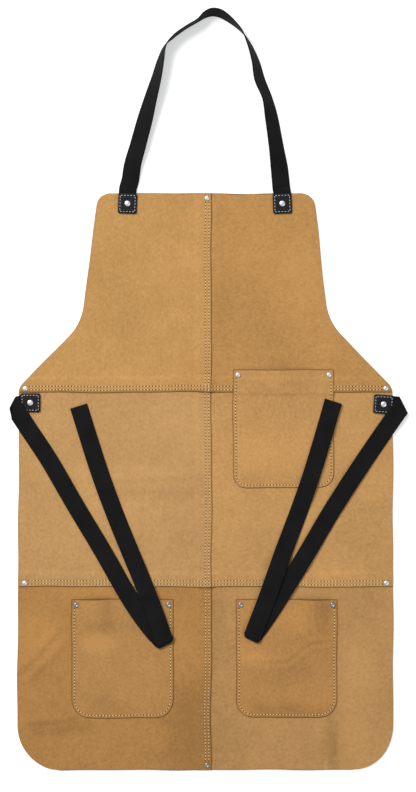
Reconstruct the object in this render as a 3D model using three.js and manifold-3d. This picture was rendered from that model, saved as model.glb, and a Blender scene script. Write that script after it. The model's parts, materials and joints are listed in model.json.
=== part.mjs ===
// A split-leather welding apron, lying flat with its front up and its two waist ties folded over it.
// Millimetres. X runs across the apron from its centre line, Y runs up it from the waist seam, and
// Z rises from the surface that the apron lies on.
import * as THREE from 'three';
import { mergeVertices } from 'three/addons/utils/BufferGeometryUtils.js';
import Module from 'manifold-3d';

const wasm = await Module();
wasm.setup();

// Leather, seams and clearances
const leather = 1.4;
const gap = 0.3;
const lap = 18; // hidden overlap of every seam
const rampRun = 7; // length over which the leather climbs onto a lap
const rampClear = 1; // flat stretch kept past a hidden edge before the climb starts

// Outline of the cut apron
const bibHeight = 315;
const waistHeight = 308;
const skirtHeight = 291;
const bibTopHalf = 171.5;
const armholeHalf = 194.5;
const armholeHeight = 112;
const waistHalf = 296;
const waistCornerHeight = 7;
const hemHalf = 298;
const bibCornerRadius = 22;
const armholeRadius = 86;
const waistCornerRadius = 24;
const hemCornerRadius = 70;

// Pockets
const pocketHeight = 186;
const pocketMouthRadius = 2;
const pocketBulge = 9;
const pocketBulgeDepth = 95;

// Black reinforcing patches and the webbing under them
const webbingWidth = 28;
const webbingThickness = 1.9;
const patchOverhang = 1; // of a patch past each edge of the webbing
const patchLength = 32;
const patchThickness = 1.2;
const patchSetback = 0.6; // from the bib's top edge to a neck patch
const webbingEndInset = 1; // from a patch's edge to the hidden cut end of the webbing
const foldRoom = 0.5; // from a fold line to the end of a stretch of webbing
const layerGap = 1.2; // between the two layers of a folded tie
const strapStep = 12; // spacing of a tie's cross-sections

// Rivets
const capRadius = 4;
const patchCapRadius = 4.6;
const capHeight = 1.7;
const capRim = 0.4;
const shankRadius = 1.6;
const burrThickness = 0.6;
const rivetFromEdge = 8; // at the bib's top and the hem
const rivetFromSide = 10.5;
const rivetFromLapEdge = 6.5; // on the centre line
const rivetAboveSeam = 5.5;
const rivetFromPocketSide = 6.8;
const rivetFromMouth = 7.8;

// Fineness of the faceted solids
const roundFacets = 12;
const domeRings = 4;
const filletSteps = 8;
const humpColumns = 12;
const humpRows = 10;
const neckSections = 64;

// Worked out from the sizes above
const step = leather + gap;
const lapHalf = lap / 2;
const skirtSeam = -waistHeight;
const hemEdge = -waistHeight - skirtHeight;
const farOut = 400; // past the outline on every side
const wellBelow = -1;
const wellAbove = 30;
const patchWidth = webbingWidth + 2 * patchOverhang;
const patchSeat = step + webbingThickness + gap;
// Half the apron's width at a height below the waist corners
const sideSlope = (hemHalf - waistHalf) / (waistCornerHeight - hemEdge);
const sideAt = (y) => waistHalf + sideSlope * (waistCornerHeight - y);

const chestMouth = 35;
const skirtMouth = skirtSeam - 21;
// x is a pocket's middle, and bulgeAt is where its mouth gapes most, measured from that middle
const chestShape = { corner: 20, bulgeAt: 0, bulgeHalf: 60 };
const skirtShape = { corner: 28, bulgeHalf: 36 };
const pockets = [
  { name: 'chest_pocket', x: 123.5, mouth: chestMouth, width: 158, ...chestShape },
  { name: 'skirt_pocket_left', x: -131.5, mouth: skirtMouth, width: 160, bulgeAt: -42, ...skirtShape },
  { name: 'skirt_pocket_right', x: 128.5, mouth: skirtMouth, width: 159, bulgeAt: 42, ...skirtShape },
];

// Route of the neck strap's middle line, from the left patch round to the right one. above is measured
// from the bib's top edge. turn is how far the webbing has rolled onto its edge: 0 is flat, 90 upright.
const neckRoute = [
  { x: -123.5, above: 0, turn: 0 },
  { x: -122.5, above: 8, turn: 0 },
  { x: -119, above: 21, turn: 2 },
  { x: -115, above: 46, turn: 12 },
  { x: -106.5, above: 76, turn: 21 },
  { x: -96.5, above: 113, turn: 26 },
  { x: -87.5, above: 146, turn: 40 },
  { x: -77, above: 183, turn: 55 },
  { x: -71.3, above: 207, turn: 65 },
  { x: -64, above: 231, turn: 81 },
  { x: -49, above: 247, turn: 90 },
  { x: -31, above: 260, turn: 90 },
  { x: -12.5, above: 271, turn: 91 },
  { x: 0, above: 280.5, turn: 102 },
  { x: 14, above: 284.3, turn: 108 },
  { x: 31, above: 278, turn: 105 },
  { x: 55.5, above: 256.7, turn: 90 },
  { x: 68.3, above: 235.5, turn: 76 },
  { x: 79, above: 207, turn: 63 },
  { x: 85.7, above: 178, turn: 52 },
  { x: 97.5, above: 149, turn: 54 },
  { x: 104.5, above: 117, turn: 41 },
  { x: 112.5, above: 68, turn: 30 },
  { x: 117.2, above: 36, turn: 10 },
  { x: 120, above: 8, turn: 0 },
  { x: 121.5, above: 0, turn: 0 },
];
const neckStart = bibHeight + foldRoom;
const neckDrop = 26; // length over which the strap comes down off the bib

const neckPatchY = bibHeight - patchSetback - patchLength / 2;
const patches = [
  { name: 'neck_patch_left', x: neckRoute[0].x, y: neckPatchY, turn: -2 },
  { name: 'neck_patch_right', x: neckRoute.at(-1).x, y: neckPatchY, turn: 2 },
  { name: 'waist_patch_left', x: 18.5 - waistHalf, y: -patchWidth / 2 - 2, turn: 90 },
  { name: 'waist_patch_right', x: waistHalf - 14, y: -patchWidth / 2 - 4.5, turn: 86 },
];
// A tie leaves its patch sideways, folds back over the apron, and folds again so that its tail points up.
// toFold is measured from the patch. bow and tip are the middle and the free end of the tail.
const ties = [
  {
    side: 'left',
    patch: patches[2],
    toFold: [-26, -1.5],
    second: [-63.7, skirtSeam - 91.6],
    bow: [-148, -180],
    tip: [-200, -22],
  },
  {
    side: 'right',
    patch: patches[3],
    toFold: [29.5, -2],
    second: [72.5, skirtSeam - 83],
    bow: [156, -171],
    tip: [202, -14.5],
  },
];

// ---- Solids ----

function toSolid(geometry) {
  const bare = geometry.clone();
  bare.deleteAttribute('normal');
  bare.deleteAttribute('uv');
  const merged = mergeVertices(bare, 1e-5);
  const mesh = new wasm.Mesh({
    numProp: 3,
    vertProperties: new Float32Array(merged.attributes.position.array),
    triVerts: new Uint32Array(merged.index.array),
  });
  mesh.merge();
  return new wasm.Manifold(mesh);
}

function toGeometry(solid) {
  const mesh = solid.getMesh();
  const geometry = new THREE.BufferGeometry();
  geometry.setAttribute('position', new THREE.BufferAttribute(mesh.vertProperties, 3));
  geometry.setIndex(new THREE.BufferAttribute(mesh.triVerts, 1));
  geometry.computeVertexNormals();
  return geometry;
}

// A closed slab on a grid of lines, whose underside follows bottomAt
function leatherSheet(xLines, yLines, bottomAt) {
  const across = xLines.length - 1;
  const along = yLines.length - 1;
  const geometry = new THREE.BoxGeometry(1, 1, 1, across, along, 1);
  const corner = geometry.attributes.position;
  for (let i = 0; i < corner.count; i += 1) {
    const x = xLines[Math.round((corner.getX(i) + 0.5) * across)];
    const y = yLines[Math.round((corner.getY(i) + 0.5) * along)];
    const top = corner.getZ(i) > 0 ? leather : 0;
    corner.setXYZ(i, x, y, bottomAt(x, y) + top);
  }
  return toSolid(geometry);
}

// A flat strip through stations, each with the middle of its cross-section, its half width and half thickness
function strip(stations) {
  const last = stations.length - 1;
  const geometry = new THREE.BoxGeometry(1, 1, 1, 1, 1, last);
  const corner = geometry.attributes.position;
  const point = new THREE.Vector3();
  for (let i = 0; i < corner.count; i += 1) {
    const at = stations[last - Math.round((corner.getZ(i) + 0.5) * last)];
    point.copy(at.middle);
    point.addScaledVector(at.half, 2 * corner.getX(i));
    point.addScaledVector(at.rise, 2 * corner.getY(i));
    corner.setXYZ(i, point.x, point.y, point.z);
  }
  return toSolid(geometry);
}

// A shape whose corners are rounded, each to its own radius, inside or outside
function filletedShape(corners) {
  const shape = new THREE.Shape();
  corners.forEach(([x, y, radius], i) => {
    const here = new THREE.Vector2(x, y);
    const before = new THREE.Vector2(...corners.at(i - 1)).sub(here).normalize();
    const after = new THREE.Vector2(...corners[(i + 1) % corners.length]).sub(here).normalize();
    const half = Math.acos(before.dot(after)) / 2;
    const turnsRight = before.cross(after) > 0;
    const middle = before.clone().add(after).normalize().multiplyScalar(radius / Math.sin(half)).add(here);
    const reach = radius / Math.tan(half);
    const start = before.multiplyScalar(reach).add(here).sub(middle).angle();
    const end = after.multiplyScalar(reach).add(here).sub(middle).angle();
    shape.absarc(middle.x, middle.y, radius, start, end, turnsRight);
  });
  return shape;
}

function prism(shape, low, high) {
  const settings = { depth: high - low, bevelEnabled: false, curveSegments: filletSteps };
  const geometry = new THREE.ExtrudeGeometry(shape, settings);
  return toSolid(geometry.translate(0, 0, low));
}

// A turned solid about Z at a place, from [radius, height] points
function turned(profile, x, y) {
  const points = profile.map(([radius, height]) => new THREE.Vector2(radius, height));
  const geometry = new THREE.LatheGeometry(points, roundFacets);
  geometry.rotateX(Math.PI / 2);
  return toSolid(geometry.translate(x, y, 0));
}

// ---- Where the leather lies ----

const clamp01 = (value) => Math.min(1, Math.max(0, value));

function spread(from, to, steps) {
  return Array.from({ length: steps + 1 }, (_, i) => from + ((to - from) * i) / steps);
}

// 1 up to rampClear past an edge, then down to 0 over the ramp
const fall = (beyond) => 1 - clamp01((beyond - rampClear) / rampRun);
// 1 where the two halves overlap on the centre line
const centreLap = (x) => fall(Math.abs(x) - lapHalf);
// 1 where an upper panel lies over a lower one, seam being the upper panel's cut edge
const seamLap = (y, seam) => (y < seam ? 0 : fall(y - seam - lap));
// the same for a pocket that crosses the seam, which also climbs down below the cut edge
const coveredLap = (y, seam) => (y < seam ? fall(seam - y) : seamLap(y, seam));

function hump(offset, half) {
  return (1 + Math.cos(Math.PI * Math.min(1, Math.abs(offset) / half))) / 2;
}

function pocketBottom(pocket, x, y) {
  const across = hump(x - pocket.x - pocket.bulgeAt, pocket.bulgeHalf);
  const down = hump(pocket.mouth - y, pocketBulgeDepth);
  return step * (1 + coveredLap(y, 0)) + pocketBulge * across * down;
}

function inPocket(pocket, x, y) {
  const within = Math.abs(x - pocket.x) <= pocket.width / 2;
  return within && y <= pocket.mouth && y >= pocket.mouth - pocketHeight;
}

function inPatch(patch, x, y) {
  const offset = new THREE.Vector2(x - patch.x, y - patch.y);
  offset.rotateAround(new THREE.Vector2(), -THREE.MathUtils.degToRad(patch.turn));
  return Math.abs(offset.x) <= patchWidth / 2 && Math.abs(offset.y) <= patchLength / 2;
}

// Height of the top of everything sewn down at a place
function stackTop(x, y) {
  const seams = seamLap(y, 0) + (y < -lap ? seamLap(y, skirtSeam) : 0);
  let top = step * (1 + centreLap(x)) * (1 + seams) - gap;
  for (const pocket of pockets.filter((each) => inPocket(each, x, y))) {
    top = Math.max(top, pocketBottom(pocket, x, y) + leather);
  }
  if (patches.some((each) => inPatch(each, x, y))) {
    top = Math.max(top, patchSeat + patchThickness);
  }
  return top;
}

// The highest that heightAt gets within a reach of a place
function highestNear(heightAt, x, y, reach) {
  const offsets = spread(-reach, reach, 8);
  const heights = offsets.flatMap((dx) => offsets.map((dy) => heightAt(x + dx, y + dy)));
  return Math.max(...heights);
}

// ---- Rivets ----

function rivetPlaces() {
  const waistRivets = rivetAboveSeam;
  const skirtRivets = skirtSeam + rivetAboveSeam;
  const places = [
    ['bib_top', lapHalf - rivetFromLapEdge, bibHeight - rivetFromEdge],
    ['hem', lapHalf - rivetFromLapEdge, hemEdge + rivetFromEdge],
    ['waist_seam_left', rivetFromSide - sideAt(waistRivets), waistRivets],
    ['waist_seam_right', sideAt(waistRivets) - rivetFromSide, waistRivets],
    ['skirt_seam_left', rivetFromSide - sideAt(skirtRivets), skirtRivets],
    ['skirt_seam_right', sideAt(skirtRivets) - rivetFromSide, skirtRivets],
  ].map(([name, x, y]) => ({ name, x, y, radius: capRadius }));
  for (const pocket of pockets) {
    for (const [end, sign] of [['left', -1], ['right', 1]]) {
      const x = pocket.x + sign * (pocket.width / 2 - rivetFromPocketSide);
      places.push({ name: `${pocket.name}_${end}`, x, y: pocket.mouth - rivetFromMouth, radius: capRadius });
    }
  }
  for (const patch of patches) {
    places.push({ name: patch.name, x: patch.x, y: patch.y, radius: patchCapRadius });
  }
  return places;
}

const rivets = rivetPlaces();

// What a rivet needs cut away: a hole for its shank and a shallow seat for its burr
function rivetClearance(rivet) {
  const seat = rivet.radius + gap;
  const hole = shankRadius + gap;
  const depth = burrThickness + gap;
  const profile = [[0, wellBelow], [seat, wellBelow], [seat, depth], [hole, depth]];
  profile.push([hole, wellAbove], [0, wellAbove]);
  return turned(profile, rivet.x, rivet.y);
}

const clearances = rivets.map((rivet) => rivetClearance(rivet));

function punched(solid) {
  const box = solid.boundingBox();
  let result = solid;
  rivets.forEach((rivet, i) => {
    const reach = rivet.radius + gap;
    const overX = rivet.x > box.min[0] - reach && rivet.x < box.max[0] + reach;
    const overY = rivet.y > box.min[1] - reach && rivet.y < box.max[1] + reach;
    if (overX && overY) result = result.subtract(clearances[i]);
  });
  return result;
}

// Shank and domed head in one, as a tubular rivet's cap is
function rivetCap(rivet) {
  const seat = highestNear(stackTop, rivet.x, rivet.y, rivet.radius) + gap;
  const profile = [[0, 0], [shankRadius, 0], [shankRadius, seat], [rivet.radius, seat]];
  for (let i = 0; i <= domeRings; i += 1) {
    const angle = (i / domeRings) * (Math.PI / 2);
    const height = seat + capRim + (capHeight - capRim) * Math.sin(angle);
    profile.push([i === domeRings ? 0 : rivet.radius * Math.cos(angle), height]);
  }
  return turned(profile, rivet.x, rivet.y);
}

function rivetBurr(rivet) {
  const inner = shankRadius + gap;
  const outer = rivet.radius;
  const ring = [[inner, 0], [outer, 0], [outer, burrThickness], [inner, burrThickness], [inner, 0]];
  return turned(ring, rivet.x, rivet.y);
}

// ---- Leather panels and pockets ----

function apronOutline() {
  const half = [
    [bibTopHalf, bibHeight, bibCornerRadius],
    [armholeHalf, armholeHeight, armholeRadius],
    [waistHalf, waistCornerHeight, waistCornerRadius],
    [hemHalf, hemEdge, hemCornerRadius],
  ];
  const other = half.map(([x, y, radius]) => [-x, y, radius]).reverse();
  return filletedShape([...half, ...other]);
}

const outline = prism(apronOutline(), wellBelow, wellAbove);

function panel(isLeft, low, high, seam) {
  const climb = lapHalf + rampClear;
  const leftLines = [-farOut, -climb - rampRun, -climb, lapHalf];
  const xLines = isLeft ? leftLines : leftLines.map((x) => -x).reverse();
  const yLines = [low, high];
  if (seam !== null) yLines.splice(1, 0, seam + lap + rampClear, seam + lap + rampClear + rampRun);
  const bottomAt = (x, y) => {
    const under = seam === null ? 0 : seamLap(y, seam) * (1 + centreLap(x));
    return step * (under + (isLeft ? centreLap(x) : 0));
  };
  return punched(leatherSheet(xLines, yLines, bottomAt).intersect(outline));
}

function pocketPanel(pocket) {
  const left = pocket.x - pocket.width / 2;
  const right = pocket.x + pocket.width / 2;
  const foot = pocket.mouth - pocketHeight;
  const middle = pocket.x + pocket.bulgeAt;
  const xLines = [left, ...spread(middle - pocket.bulgeHalf, middle + pocket.bulgeHalf, humpColumns), right];
  const crossings = [lap + rampClear + rampRun, lap + rampClear, -rampClear, -rampClear - rampRun];
  const yLines = [...spread(pocket.mouth, pocket.mouth - pocketBulgeDepth, humpRows), foot];
  yLines.push(...crossings.filter((y) => y < pocket.mouth && y > foot));
  yLines.sort((a, b) => a - b);
  const rounded = filletedShape([
    [left, pocket.mouth, pocketMouthRadius],
    [right, pocket.mouth, pocketMouthRadius],
    [right, foot, pocket.corner],
    [left, foot, pocket.corner],
  ]);
  const sheet = leatherSheet(xLines, yLines, (x, y) => pocketBottom(pocket, x, y));
  return punched(sheet.intersect(prism(rounded, wellBelow, wellAbove)));
}

// ---- Patches and webbing ----

function block(width, length, thickness, turnDegrees, x, y, z) {
  const geometry = new THREE.BoxGeometry(width, length, thickness);
  geometry.rotateZ(THREE.MathUtils.degToRad(turnDegrees));
  return toSolid(geometry.translate(x, y, z + thickness / 2));
}

function patchPiece(patch) {
  return punched(block(patchWidth, patchLength, patchThickness, patch.turn, patch.x, patch.y, patchSeat));
}

const flat = (pair) => new THREE.Vector2(...pair);
const sideways = (direction) => new THREE.Vector2(direction.y, -direction.x);

function neckEnd(patch) {
  const length = patchLength + patchSetback - webbingEndInset;
  const y = bibHeight - length / 2;
  return punched(block(webbingWidth, length, webbingThickness, patch.turn, patch.x, y - gap, step));
}

// The loop of the neck strap: flat where it leaves the bib, rolled onto its edge round the top
function neckLoop() {
  const points = neckRoute.map(({ x, above, turn }) => new THREE.Vector3(x, neckStart + above, turn));
  const curve = new THREE.CatmullRomCurve3(points);
  const stations = curve.getPoints(neckSections).map((at, i) => {
    const slope = curve.getTangent(i / neckSections);
    let inward = sideways(flat([slope.x, slope.y]).normalize());
    if (i === 0 || i === neckSections) inward = flat([i === 0 ? 1 : -1, 0]); // square to the bib's edge
    const roll = THREE.MathUtils.degToRad(at.z);
    const cos = Math.cos(roll);
    const sin = Math.sin(roll);
    const rest = (webbingWidth * Math.abs(sin) + webbingThickness * Math.abs(cos)) / 2;
    const onBib = step * (1 - clamp01((at.y - neckStart) / neckDrop));
    return {
      middle: new THREE.Vector3(at.x, at.y, rest + onBib),
      half: new THREE.Vector3(inward.x * cos, inward.y * cos, sin).multiplyScalar(webbingWidth / 2),
      rise: new THREE.Vector3(-inward.x * sin, -inward.y * sin, cos).multiplyScalar(webbingThickness / 2),
    };
  });
  return strip(stations);
}

function flatStation(place, across, halfLength, bottom) {
  return {
    middle: new THREE.Vector3(place.x, place.y, bottom + webbingThickness / 2),
    half: new THREE.Vector3(across.x, across.y, 0).multiplyScalar(halfLength),
    rise: new THREE.Vector3(0, 0, webbingThickness / 2),
  };
}

// Stations along a curve in the plane. An end given a fold line is cut along that line.
function tieStations(curve, bottomAt, startFold, endFold) {
  const length = curve.getLength();
  const count = Math.round(length / strapStep);
  const stations = [];
  for (let i = 0; i <= count; i += 1) {
    const tangent = curve.getTangentAt(i / count);
    let fold = null;
    let inset = 0;
    if (i === 0 && startFold) [fold, inset] = [startFold, foldRoom];
    if (i === count && endFold) [fold, inset] = [endFold, -foldRoom];
    const place = curve.getPointAt(i / count).addScaledVector(tangent, inset);
    const square = sideways(tangent);
    const across = fold ? fold.clone().multiplyScalar(Math.sign(fold.dot(square))) : square;
    const halfLength = webbingWidth / 2 / Math.abs(across.dot(square));
    stations.push(flatStation(place, across, halfLength, bottomAt(place.x, place.y)));
  }
  return stations;
}

function tiePieces(tie) {
  const patchAt = flat([tie.patch.x, tie.patch.y]);
  const fold = flat(tie.toFold).add(patchAt);
  const second = flat(tie.second);
  const out = fold.clone().sub(patchAt).normalize();
  const down = second.clone().sub(fold).normalize();
  const tailCurve = new THREE.SplineCurve([second, flat(tie.bow), flat(tie.tip)]);
  const up = tailCurve.getTangentAt(0);
  const firstFold = out.clone().add(down).normalize();
  const secondFold = down.clone().add(up).normalize();

  const hidden = patchAt.clone().addScaledVector(out, webbingEndInset - patchLength / 2);
  const endCurve = new THREE.LineCurve(hidden, fold);
  const end = tieStations(endCurve, () => step, null, firstFold);

  const reach = webbingWidth / 2 + 2 * layerGap;
  const onLeather = (x, y) => highestNear(stackTop, x, y, reach) + gap;
  const run = tieStations(new THREE.LineCurve(fold, second), onLeather, firstFold, secondFold);

  const length = fold.distanceTo(second);
  const runTop = (x, y) => {
    const offset = new THREE.Vector2(x, y).sub(fold);
    const along = offset.dot(down);
    const off = Math.abs(offset.cross(down));
    if (off > webbingWidth / 2 || along > length + strapStep) return 0;
    const nearest = Math.round(clamp01(along / length) * (run.length - 1));
    return run[nearest].middle.z + webbingThickness / 2 + layerGap - gap;
  };
  const stacked = (x, y) => Math.max(stackTop(x, y), runTop(x, y));
  const onRun = (x, y) => highestNear(stacked, x, y, reach) + gap;
  const tail = tieStations(tailCurve, onRun, secondFold, null);
  return { end: punched(strip(end)), run: strip(run), tail: strip(tail) };
}

// ---- The apron ----

const looks = {
  bib: { color: 0xc0925a, roughness: 0.9, metalness: 0 },
  waist: { color: 0xc79d66, roughness: 0.9, metalness: 0 },
  skirt: { color: 0xbd8f54, roughness: 0.9, metalness: 0 },
  pocket: { color: 0xb98b50, roughness: 0.9, metalness: 0 },
  blackLeather: { color: 0x17171a, roughness: 0.6, metalness: 0 },
  webbing: { color: 0x1c1c1f, roughness: 0.85, metalness: 0 },
  nickel: { color: 0xc9ccd0, roughness: 0.25, metalness: 1 },
};
const materials = Object.fromEntries(
  Object.entries(looks).map(([name, look]) => [name, new THREE.MeshStandardMaterial(look)]),
);

const apron = new THREE.Group();
apron.name = 'welding_apron';

function add(name, solid, look) {
  const mesh = new THREE.Mesh(toGeometry(solid), materials[look]);
  mesh.name = name;
  apron.add(mesh);
}

for (const [side, isLeft] of [['left', true], ['right', false]]) {
  add(`bib_${side}`, panel(isLeft, 0, farOut, 0), 'bib');
  add(`waist_${side}`, panel(isLeft, skirtSeam, lap, skirtSeam), 'waist');
  add(`skirt_${side}`, panel(isLeft, -2 * farOut, skirtSeam + lap, null), 'skirt');
}
for (const pocket of pockets) add(pocket.name, pocketPanel(pocket), 'pocket');
for (const patch of patches) add(patch.name, patchPiece(patch), 'blackLeather');

add('neck_strap_end_left', neckEnd(patches[0]), 'webbing');
add('neck_strap_end_right', neckEnd(patches[1]), 'webbing');
add('neck_strap', neckLoop(), 'webbing');
for (const tie of ties) {
  const pieces = tiePieces(tie);
  add(`tie_${tie.side}_end`, pieces.end, 'webbing');
  add(`tie_${tie.side}_run`, pieces.run, 'webbing');
  add(`tie_${tie.side}_tail`, pieces.tail, 'webbing');
}
for (const rivet of rivets) {
  add(`rivet_cap_${rivet.name}`, rivetCap(rivet), 'nickel');
  add(`rivet_burr_${rivet.name}`, rivetBurr(rivet), 'nickel');
}

export default apron;
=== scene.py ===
import json
import math
import bpy
import numpy as np
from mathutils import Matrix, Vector
from mathutils.bvhtree import BVHTree


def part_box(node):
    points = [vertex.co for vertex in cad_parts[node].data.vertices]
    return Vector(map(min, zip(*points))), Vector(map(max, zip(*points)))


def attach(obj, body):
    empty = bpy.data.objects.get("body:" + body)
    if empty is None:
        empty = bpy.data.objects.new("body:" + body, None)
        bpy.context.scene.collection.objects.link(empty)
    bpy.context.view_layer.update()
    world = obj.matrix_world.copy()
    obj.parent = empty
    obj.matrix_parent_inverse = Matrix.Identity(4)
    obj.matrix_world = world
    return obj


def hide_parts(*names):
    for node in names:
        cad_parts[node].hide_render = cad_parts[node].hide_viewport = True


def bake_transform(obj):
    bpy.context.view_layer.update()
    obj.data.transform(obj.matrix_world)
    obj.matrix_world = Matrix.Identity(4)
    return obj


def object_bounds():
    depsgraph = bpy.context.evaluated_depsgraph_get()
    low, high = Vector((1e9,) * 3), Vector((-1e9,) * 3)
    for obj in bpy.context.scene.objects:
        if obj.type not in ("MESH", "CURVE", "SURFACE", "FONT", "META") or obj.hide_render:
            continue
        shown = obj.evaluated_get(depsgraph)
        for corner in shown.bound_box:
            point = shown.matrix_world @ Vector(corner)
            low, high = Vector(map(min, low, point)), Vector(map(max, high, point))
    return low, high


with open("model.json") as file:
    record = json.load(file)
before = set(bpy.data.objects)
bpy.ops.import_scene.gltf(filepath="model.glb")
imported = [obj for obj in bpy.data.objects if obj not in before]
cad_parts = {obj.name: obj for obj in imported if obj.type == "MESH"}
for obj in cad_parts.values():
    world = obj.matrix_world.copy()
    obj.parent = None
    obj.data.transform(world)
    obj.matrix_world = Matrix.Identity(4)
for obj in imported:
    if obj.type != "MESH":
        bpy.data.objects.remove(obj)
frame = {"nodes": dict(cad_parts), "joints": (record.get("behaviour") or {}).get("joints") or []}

# A split-leather welding apron lying on its back, its two waist ties folded over it.
# Sizes in the dictionaries are millimetres unless a note says otherwise. The meshes are in metres.
mm = 0.001
cadLow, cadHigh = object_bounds()
up = np.array([0.0, 0.0, 1.0])


def boxOf(node):
    low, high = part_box(node)
    return np.array(low) / mm, np.array(high) / mm


def middleOf(node):
    low, high = boxOf(node)
    return (low + high) / 2


jointAt = {joint["name"]: np.array(joint["pos_m"]) / mm for joint in frame["joints"]}
jointAlong = {joint["name"]: np.array(joint["axis"]) for joint in frame["joints"]}

# ---- Camera, floor and light ----

camera = {
    "lens": 100,
    "sensor": 36,
    "seenHeight": 1.042,  # of the apron's own height
    "below": 9.3,  # of the box's middle, so that the neck strap nears the frame's top
    "aimAbove": 2,
}
studio = {
    "floorSize": 40,  # metres
    "floorShade": (0.93, 0.93, 0.93, 1),
    "floorGlow": 0.36,
    "airShade": (0.96, 0.98, 1.0, 1),
    "airStrength": 0.4,
    # name, place in metres, size in metres, watts
    "lamps": [
        ("key_light", (-2.1, 2.3, 3.6), 1.9, 168),
        ("fill_light", (2.6, -1.8, 3.2), 2.4, 30),
    ],
}


def addCamera():
    middle = (cadLow + cadHigh) / 2
    span = (cadHigh.y - cadLow.y) * camera["seenHeight"]
    data = bpy.data.cameras.new("camera")
    data.lens = camera["lens"]
    data.sensor_width = camera["sensor"]
    data.clip_end = 100
    eye = bpy.data.objects.new("camera", data)
    away = span * camera["lens"] / camera["sensor"] + camera["aimAbove"] * mm
    eye.location = (middle.x, middle.y - camera["below"] * mm, away)
    bpy.context.scene.collection.objects.link(eye)
    bpy.context.scene.camera = eye


def addStudio(floorMaterial):
    half = studio["floorSize"] / 2
    corners = [(-half, -half, 0), (half, -half, 0), (half, half, 0), (-half, half, 0)]
    mesh = bpy.data.meshes.new("floor")
    mesh.from_pydata([(x, y, -0.0003) for x, y, z in corners], [], [(0, 1, 2, 3)])
    mesh.materials.append(floorMaterial)
    floor = bpy.data.objects.new("floor", mesh)
    bpy.context.scene.collection.objects.link(floor)
    for name, place, size, watts in studio["lamps"]:
        data = bpy.data.lights.new(name, "AREA")
        data.size = size
        data.energy = watts
        lamp = bpy.data.objects.new(name, data)
        lamp.location = place
        lamp.rotation_euler = (-Vector(place)).to_track_quat("-Z", "Y").to_euler()
        bpy.context.scene.collection.objects.link(lamp)
    world = bpy.data.worlds.new("air")
    world.use_nodes = True
    light = world.node_tree.nodes["Background"]
    light.inputs["Color"].default_value = studio["airShade"]
    light.inputs["Strength"].default_value = studio["airStrength"]
    bpy.context.scene.world = world
    bpy.context.scene.view_settings.view_transform = "Standard"


# ---- Nodes ----

# A node's output, so that sums on it can be written as sums
class Wire:
    def __init__(self, graph, socket):
        self.graph = graph
        self.socket = socket

    def sum(self, operation, other, swapped=False):
        pair = (other, self) if swapped else (self, other)
        return self.graph.add("ShaderNodeMath", {"operation": operation}, {0: pair[0], 1: pair[1]})

    def __add__(self, other):
        return self.sum("ADD", other)

    def __radd__(self, other):
        return self.sum("ADD", other, True)

    def __sub__(self, other):
        return self.sum("SUBTRACT", other)

    def __rsub__(self, other):
        return self.sum("SUBTRACT", other, True)

    def __mul__(self, other):
        return self.sum("MULTIPLY", other)

    def __rmul__(self, other):
        return self.sum("MULTIPLY", other, True)

    def __truediv__(self, other):
        return self.sum("DIVIDE", other)

    def __pow__(self, other):
        return self.sum("POWER", other)


class Graph:
    def __init__(self, tree):
        self.tree = tree

    # settings are set first; values go to sockets by name or number, as numbers or wires
    def add(self, kind, settings=None, values=None, out=0):
        node = self.tree.nodes.new(kind)
        for key, setting in (settings or {}).items():
            if key == "stops":
                for stop, (position, shade) in zip(self.rampStops(node, len(setting)), setting):
                    stop.position = position
                    stop.color = shade
            else:
                setattr(node, key, setting)
        for key, value in (values or {}).items():
            if isinstance(value, Wire):
                self.tree.links.new(value.socket, node.inputs[key])
            else:
                node.inputs[key].default_value = value
        return Wire(self, node.outputs[out]) if node.outputs else node

    def rampStops(self, node, count):
        stops = node.color_ramp.elements
        while len(stops) < count:
            stops.new(0.5)
        return stops

    def vector(self, operation, first, second=(0, 0, 0), out=0):
        return self.add("ShaderNodeVectorMath", {"operation": operation}, {0: first, 1: second}, out)

    def largest(self, first, second):
        return self.add("ShaderNodeMath", {"operation": "MAXIMUM"}, {0: first, 1: second})

    def size(self, value):
        return self.add("ShaderNodeMath", {"operation": "ABSOLUTE"}, {0: value})

    def noise(self, at, scale, detail=2, roughness=0.5, **settings):
        values = {"Vector": at, "Scale": scale, "Detail": detail, "Roughness": roughness}
        return self.add("ShaderNodeTexNoise", settings, values)

    def mix(self, factor, first, second):
        settings = {"data_type": "RGBA", "clamp_factor": True}
        return self.add("ShaderNodeMix", settings, {0: factor, 6: first, 7: second}, 2)

    def between(self, value, low, high):
        settings = {"interpolation_type": "SMOOTHSTEP"}
        return self.add("ShaderNodeMapRange", settings, {"Value": value, "From Min": low, "From Max": high})


def shaded(values, bump=None):
    graph = values.pop("graph")
    if bump:
        height, distance, strength = bump
        sizes = {"Strength": strength, "Distance": distance, "Height": height}
        values["Normal"] = graph.add("ShaderNodeBump", None, sizes)
    shader = graph.add("ShaderNodeBsdfPrincipled", None, values)
    graph.add("ShaderNodeOutputMaterial", None, {"Surface": shader})
    return graph.tree


def newMaterial(name):
    material = bpy.data.materials.new(name)
    material.use_nodes = True
    material.node_tree.nodes.clear()
    return material, Graph(material.node_tree)


def tint(shade, share):
    return tuple(min(1, part * share) for part in shade[:3]) + (1,)


# ---- Materials ----

# Split leather. Patterns are so many to a metre, and each share is how much one adds to the tone.
suede = {
    "clouds": (7, 0.5),
    "blotches": (34, 0.3),
    "mottle": (210, 0.75),
    "fibres": (420, 0.6),
    "nap": (900, 0.4),
    "light": 1.22,
    "dark": 0.78,
    # how much the cut edge's rim is darkened: partly the cut face's own darker tone, partly painted shade at
    # the edge
    "edgeToneAndShade": 0.5,
    "paintedEdgeShadow": (0.3, 1.6, 0.62),  # painted shadow that a covering edge casts beside it: solid until, gone at, how strong
    "paintedRowShade": (0.6, 2.2, 0.2),  # painted shade in the same way along the groove where a row of stitches draws the leather in
    "roughness": 0.92,
    "relief": 0.0005,  # metres
}
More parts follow.
